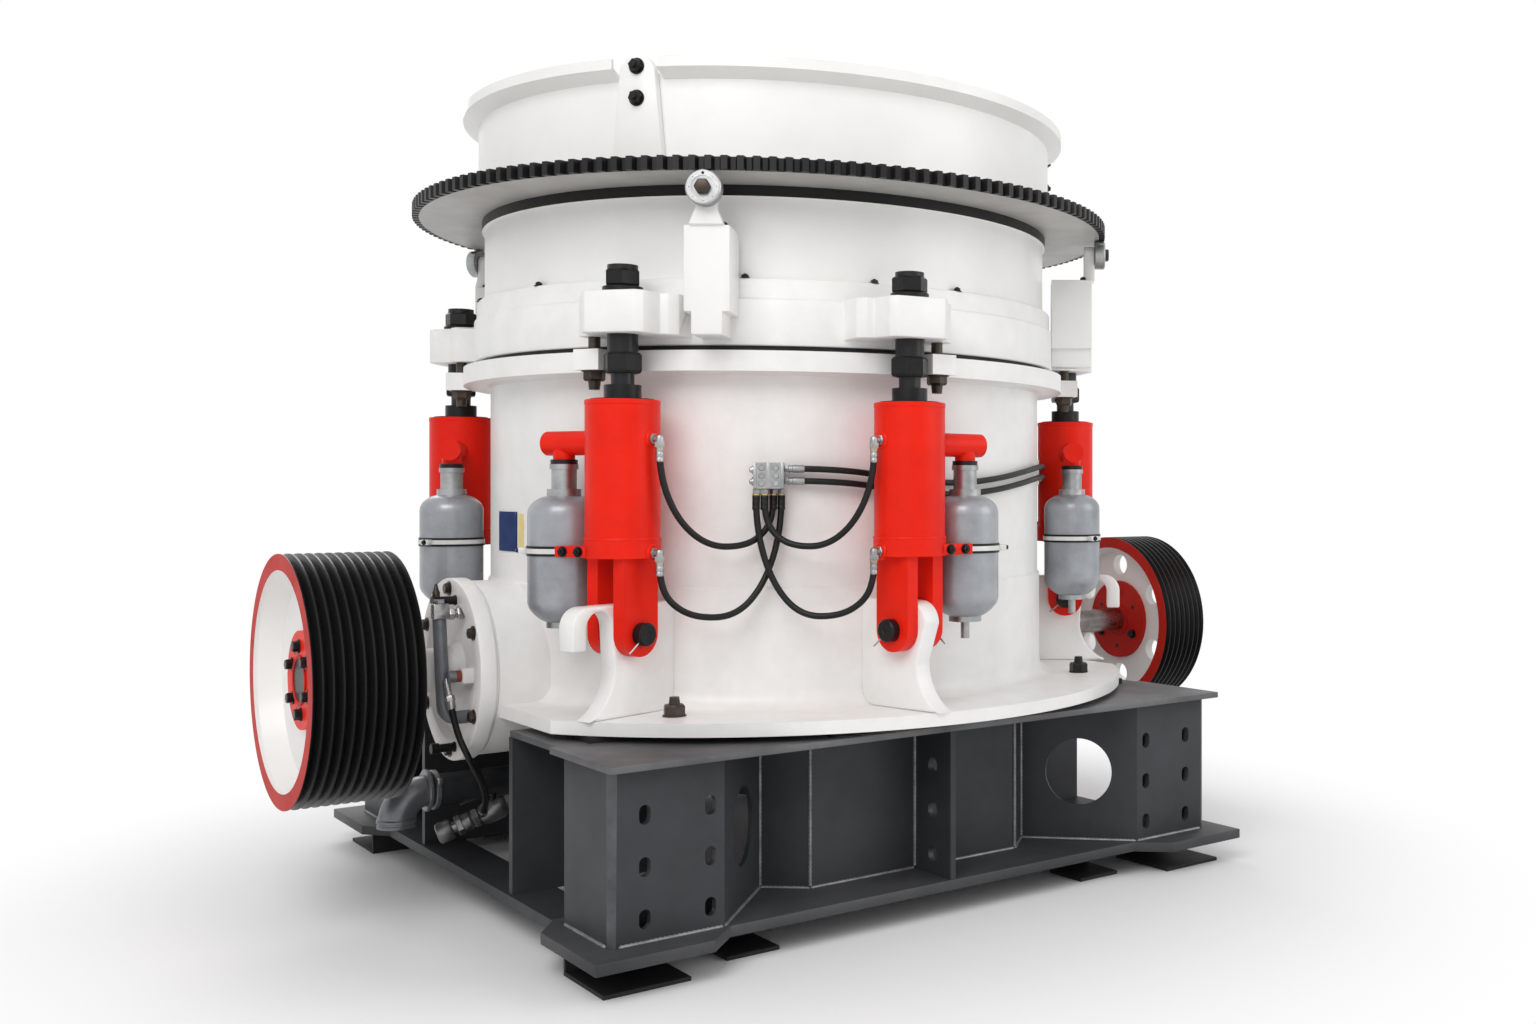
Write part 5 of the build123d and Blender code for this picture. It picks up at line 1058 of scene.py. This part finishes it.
spin(mesh, (bolts["coverFace"] - oil["nutBack"], y, port), outRight, oil["coverNut"], facets["nut"])
setPiece("oilSwivel", mesh, "frame", "brightSteel", ("oil_fittings",))

# drain: fat elbow with a socket, thin flange, clamp ring and the darker pipe behind
drain = {
    "y": 0.175, "height": 0.355, "reach": -1.210, "bend": 0.090, "radius": 0.051, "swell": 0.007,
    "bendSteps": 12, "hub": -0.30,
    "flange": [(0, 0), (0.066, 0), (0.070, 0.003), (0.070, 0.010), (0.067, 0.013), (0, 0.013)],
    "socket": [
        (0, 0), (0.058, 0), (0.0625, 0.004), (0.0625, 0.012), (0.059, 0.014), (0.059, 0.019),
        (0.061, 0.021), (0.061, 0.030), (0.048, 0.030), (0.046, 0.010), (0, 0.010),
    ],
    "clamp": [(0.050, 0), (0.064, 0), (0.066, 0.002), (0.066, 0.014), (0.064, 0.016), (0.050, 0.016)],
    "flangeAt": -0.003, "socketUp": 0.012, "clampAt": 0.019,
    "lugAt": (0.027, -0.062, 0.036), "lug": (0.016, 0.022, 0.020), "lugEdge": 0.002,
}
path = []
radii = []
for i in range(drain["bendSteps"] + 1):
    turn = 90.0 * i / drain["bendSteps"]
    rise, out = around(drain["bend"], turn)
    height = drain["height"] - drain["bend"] + rise
    path.append(Vector((drain["reach"] - out, drain["y"], height)))
    radii.append(drain["radius"] + drain["swell"] * math.sin(math.radians(turn)))
mesh = bmesh.new()
sweep(mesh, path, radii, facets["pipe"])
start = Vector((drain["reach"], drain["y"], drain["height"]))
spin(mesh, start + Vector((drain["flangeAt"], 0, 0)), outRight, drain["flange"], facets["rim"])
spin(mesh, path[-1] + up * drain["socketUp"], -up, drain["socket"], facets["pipe"])
setPiece("drainElbow", mesh, "frame", "drainSilver", ("drain_pipe",))
mesh = bmesh.new()
clampPlace = start + Vector((drain["clampAt"], 0, 0))
spin(mesh, clampPlace, outRight, drain["clamp"], facets["rim"], ring=True)
block(mesh, start + Vector(drain["lugAt"]), drain["lug"], 0.0, drain["lugEdge"])
setPiece("drainClamp", mesh, "frame", "zincSteel", ("drain_pipe",))
pipeRun = disc(drain["radius"], 0, drain["hub"] - start.x)
turnedPiece("drainRun", "frame", "drainDark", start, outRight, pipeRun, facets["pipe"], ("drain_pipe",))

# drain valve: round cap, nuts, ball body with its lever, line to the hub and the branch for the hose
valve = {
    "lineFoot": (-1.180, 0.054, 0.237), "lineTop": (-0.300, -0.182, 0.581),
    "branchFoot": (-1.0761, 0.0292, 0.2649), "branchTop": (-1.081, -0.011, 0.301),
    "cap": [
        (0, -0.030), (0.024, -0.030), (0.033, -0.026), (0.036, -0.018), (0.036, 0.012), (0.033, 0.018),
        (0.021, 0.021), (0.021, 0.040), (0, 0.040),
    ],
    "nuts": (0.034, 0.088, 0.200), "nut": nutProfile(0.034, 0.020), "nutTurn": 9.0,
    "body": [
        (0, 0.050), (0.027, 0.052), (0.030, 0.058), (0.030, 0.078), (0.026, 0.083), (0.024, 0.090),
        (0.024, 0.108), (0.030, 0.114), (0.036, 0.128), (0.037, 0.154), (0.036, 0.180), (0.030, 0.194),
        (0.024, 0.200), (0.0235, 0.222), (0.027, 0.226), (0.027, 0.9738), (0, 0.9738),
    ],
    "branch": 0.0135, "branchLess": 0.002, "branchNut": nutProfile(0.0165, 0.018), "branchNutShare": 0.62,
    "leverAlong": 0.154, "leverRise": 0.030, "leverOver": 0.022,
    "stem": [(0, 0), (0.009, 0), (0.009, 0.020), (0.012, 0.021), (0.012, 0.028), (0, 0.029)],
    "lever": ((-0.012, 0), (0.012, 0.001), (0.040, 0.008), (0.075, 0.012), (0.110, 0.012)),
    "leverRadii": (0.0055, 0.0055, 0.005, 0.0065, 0.0065),
}
lineFoot, lineTop = Vector(valve["lineFoot"]), Vector(valve["lineTop"])
branchFoot, branchTop = Vector(valve["branchFoot"]), Vector(valve["branchTop"])
line = (lineTop - lineFoot).normalized()
branch = branchTop - branchFoot
mesh = bmesh.new()
spin(mesh, lineFoot, line, valve["cap"], facets["pin"])
for along in valve["nuts"]:
    spin(mesh, lineFoot + line * along, line, valve["nut"], facets["nut"], along * valve["nutTurn"])
spin(mesh, lineFoot, line, valve["body"], facets["pin"])
branchEnd = branch.length - valve["branchLess"]
spin(mesh, branchFoot, branch, disc(valve["branch"], 0, branchEnd), facets["plug"])
spin(mesh, branchFoot + branch * valve["branchNutShare"], branch, valve["branchNut"], facets["nut"])
setPiece("drainValve", mesh, "frame", "valveSteel", ("drain_fittings",))
mesh = bmesh.new()
valveTop = lineFoot + line * valve["leverAlong"] + up * valve["leverRise"]
spin(mesh, valveTop, up, valve["stem"], facets["fitting"])
leverFoot = valveTop + up * valve["leverOver"]
lever = [leverFoot - line * reach + up * rise for reach, rise in valve["lever"]]
sweep(mesh, lever, valve["leverRadii"], facets["rivet"])
setPiece("valveLever", mesh, "frame", "boltBlack", ("drain_fittings",))
print("oil and drain fittings set")

# roller faces: a bright rim ring, and black dots for the punch marks, painted shade in the dimples
roller = {
    "face": 1.250, "height": 2.2473, "marks": 8, "markCircle": 0.041, "firstMark": 0.0045, "mark": 0.0014,
    "rim": [(0.0335, -0.001), (0.0485, -0.001), (0.0478, 0.0016), (0.0342, 0.0016)], "rimFace": 0.0016,
    "markSunk": -0.0004, "markProud": 0.0003,
}
for number, angle in enumerate(bolts["bracketAngles"], 1):
    out = heading(angle)
    centre = out * roller["face"] + up * roller["height"]
    body = f"roller_{number}"
    rim = (centre, out, roller["rim"], facets["rim"])
    turnedPiece(f"rollerFace_{number}", body, "brightSteel", *rim, ring=True)
    # black dots on each roller face: painted shade for the punch-mark dimples
    mesh = bmesh.new()
    for i in range(roller["marks"]):
        side, rise = around(roller["markCircle"], 90.0 + 360.0 * i / roller["marks"])
        size = roller["mark"] if i else roller["firstMark"]
        spot = centre + heading(angle + 90.0) * side + up * rise + out * roller["rimFace"]
        spin(mesh, spot, out, disc(size, roller["markSunk"], roller["markProud"]), facets["mark"])
    setPiece(f"rollerDimpleShade_{number}", mesh, body, "boltBlack")

# nameplate rivets and the bare yellow label beside it
plate = {
    "inset": 0.006, "reach": 0.9975,
    "rivet": [(0, -0.001), (0.0028, -0.001), (0.0024, 0.0016), (0, 0.0022)],
    "labelGap": 0.010, "labelWidth": 0.036, "labelDrop": 0.006, "labelThick": 0.0012, "labelSunk": 0.001,
    "labelCells": 6,
}
mesh = bmesh.new()
low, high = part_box("name_plate")
inset = plate["inset"]
for y in (low.y + inset, high.y - inset):
    for z in (low.z + inset, high.z - inset):
        reach = math.sqrt(plate["reach"] ** 2 - y * y)
        spin(mesh, (-reach, y, z), Vector((-reach, y, 0)), plate["rivet"], facets["rivet"])
setPiece("plateRivets", mesh, "frame", "brightSteel")

mesh = bmesh.new()
corners = []
inner, outer = shellRadius - plate["labelSunk"], shellRadius + plate["labelThick"]
labelTop = high.z - plate["labelDrop"]
cells = plate["labelCells"]
for i in range(cells + 1):
    y = low.y - plate["labelGap"] - plate["labelWidth"] * i / cells
    for reach, z in ((inner, low.z), (outer, low.z), (outer, labelTop), (inner, labelTop)):
        corners.append(mesh.verts.new((-math.sqrt(reach ** 2 - y * y), y, z)))
for i in range(cells):
    wall(mesh, corners[4 * i:4 * i + 4], corners[4 * i + 4:4 * i + 8])
mesh.faces.new(corners[3::-1])
mesh.faces.new(corners[-4:])
bmesh.ops.recalc_face_normals(mesh, faces=mesh.faces)
setPiece("sideLabel", mesh, "frame", "labelYellow")
print("small pieces set")

# weld beads along the base walls
weld = {
    "radius": 0.0055, "swell": 0.0009, "step": 0.007, "sides": 8, "heights": (0.122, 0.598),
    "wallReach": 1.140, "wallBend": (1.115, 0.802), "sideReach": 1.150, "sideBend": (1.125, 0.842),
    "webFoot": ((0.012, 0.953), (0.405, 0.953), (0.520, 0.844), (0.800, 1.149)),
    "uprights": ((0.012, 0.954), (0.405, 0.953), (0.520, 0.845)), "uprightEnds": (0.124, 0.597),
}


def weldBead(mesh, start, end):
    start, end = Vector(start), Vector(end)
    length = (end - start).length
    count = int(length / weld["step"])
    outline = [(0, 0)]
    for i in range(1, count):
        swell = weld["swell"] * (1 if i % 2 else -1)
        outline.append((weld["radius"] + swell, i * length / count))
    outline.append((0, length))
    spin(mesh, start, end - start, outline, weld["sides"])


mesh = bmesh.new()
for mx in (-1, 1):
    for my in (-1, 1):
        for z in weld["heights"]:
            x, y = mx * weld["wallReach"], my * weld["sideReach"]
            outerX, innerX = weld["wallBend"]
            outerY, innerY = weld["sideBend"]
            weldBead(mesh, (mx * outerX, y, z), (mx * innerX, y, z))
            weldBead(mesh, (x, my * outerY, z), (x, my * innerY, z))
            for (xa, ya), (xb, yb) in zip(weld["webFoot"], weld["webFoot"][1:]):
                weldBead(mesh, (mx * xa, my * ya, z), (mx * xb, my * yb, z))
        low, high = weld["uprightEnds"]
        for x, y in weld["uprights"]:
            weldBead(mesh, (mx * x, my * y, low), (mx * x, my * y, high))
setPiece("weldBeads", mesh, "frame", "weldGrey")
print("welds laid")

# hoses: the same route points as the solids, each one smooth line
hoseDiameter = 0.020
hoseCurve = {"along": 10, "round": 5, "order": 3}
lowSide = ((1.0, 0.29), (0.84, 0.71), (0.4, 1.0))
tallSide = ((1.0, 0.27), (0.73, 0.73), (0.27, 1.0))
hoseLoop = {
    "upper": {"along": 0.013, "bottom": 1.186, "turn": 0.58, "sides": (tallSide, lowSide)},
    "lower": {"along": 0.038, "bottom": 0.973, "turn": 0.48, "sides": (lowSide, tallSide)},
    "under": 0.036,
}


def droop(start, end, bottom, turn, sides):
    def between(share, height):
        return (start[0] + share * (end[0] - start[0]), start[1] + share * (end[1] - start[1]), height)

    points = [start]
    for width, drop in sides[0]:
        points.append(between(turn * (1 - width), start[2] - drop * (start[2] - bottom)))
    for width, drop in reversed(sides[1]):
        points.append(between(1 - (1 - turn) * (1 - width), end[2] - drop * (end[2] - bottom)))
    points.append(end)
    return points


def splineLength(curve):
    bare = curve.copy()
    bare.bevel_depth = 0.0
    probe = linkObject("probe", bare)
    mesh = bpy.data.meshes.new_from_object(probe)
    spots = mesh.vertices
    total = sum((spots[e.vertices[0]].co - spots[e.vertices[1]].co).length for e in mesh.edges)
    bpy.data.objects.remove(probe)
    bpy.data.meshes.remove(mesh)
    bpy.data.curves.remove(bare)
    return total


def layHose(name, points, replaced):
    curve = bpy.data.curves.new(name, "CURVE")
    curve.dimensions = "3D"
    curve.resolution_u = hoseCurve["along"]
    curve.bevel_depth = hoseDiameter / 2
    curve.bevel_resolution = hoseCurve["round"]
    curve.use_fill_caps = True
    line = curve.splines.new("NURBS")
    line.points.add(len(points) - 1)
    for spot, place in zip(line.points, points):
        spot.co = (*place, 1.0)
    line.order_u = hoseCurve["order"]
    line.use_endpoint_u = True
    hose = linkObject(name, curve)
    hose.data.materials.append(finish["hoseRubber"])
    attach(hose, "frame")
    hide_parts(replaced)
    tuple(points[0])
    splineLength(curve)


for pairName, pair in pairAngles.items():
    for side, sideName in ((-1, "left"), (1, "right")):
        for loopName, port in zip(("upper", "lower"), cylinders["ports"]):
            loop = hoseLoop[loopName]
            start = (*portPlace(pair, side), port - hoseLoop["under"])
            end = manifoldFoot(pair, side, loop["along"])
            points = droop(start, end, loop["bottom"], loop["turn"], loop["sides"])
            layHose(f"hose_{pairName}_{sideName}_{loopName}", points, f"hoses_{pairName}")

linkHose = {
    "reach": 0.076, "straight": 12.0, "rows": {"top": 1.424, "low": 1.386},
    "route": (  # degrees along from the manifold, rise
        (12.0, 0.0), (24.0, -0.030), (36.0, -0.046), (48.0, -0.028), (60.0, 0.0), (72.0, 0.022),
        (84.0, 0.022), (96.0, 0.0), (108.0, 0.0),
    ),
}
linkRadius = hoseEnd["linkRadius"]
linkStart = math.degrees(math.atan(linkHose["reach"] / linkRadius))
for turn, sideName in ((1, "front"), (-1, "rear")):
    for row, height in linkHose["rows"].items():
        points = []
        for along, rise in ((linkStart, 0.0), *linkHose["route"], (120.0 - linkStart, 0.0)):
            near = min(along, 120.0 - along)
            bend = math.cos(math.radians(near)) if near <= linkHose["straight"] else 1.0
            points.append((*around(linkRadius / bend, turn * (along - 120.0)), height + rise))
        layHose(f"linkhose_{sideName}_{row}", points, f"link_hoses_{sideName}")

driveRoute = [
    (-1.232, -0.158, 0.672), (-1.224, -0.172, 0.6), (-1.196, -0.215, 0.51), (-1.137, -0.15, 0.43),
    (-1.087, -0.06, 0.345), (-1.081, -0.011, 0.301),
]
layHose("drain_hose", driveRoute, "drive_hose")
print("hoses laid")
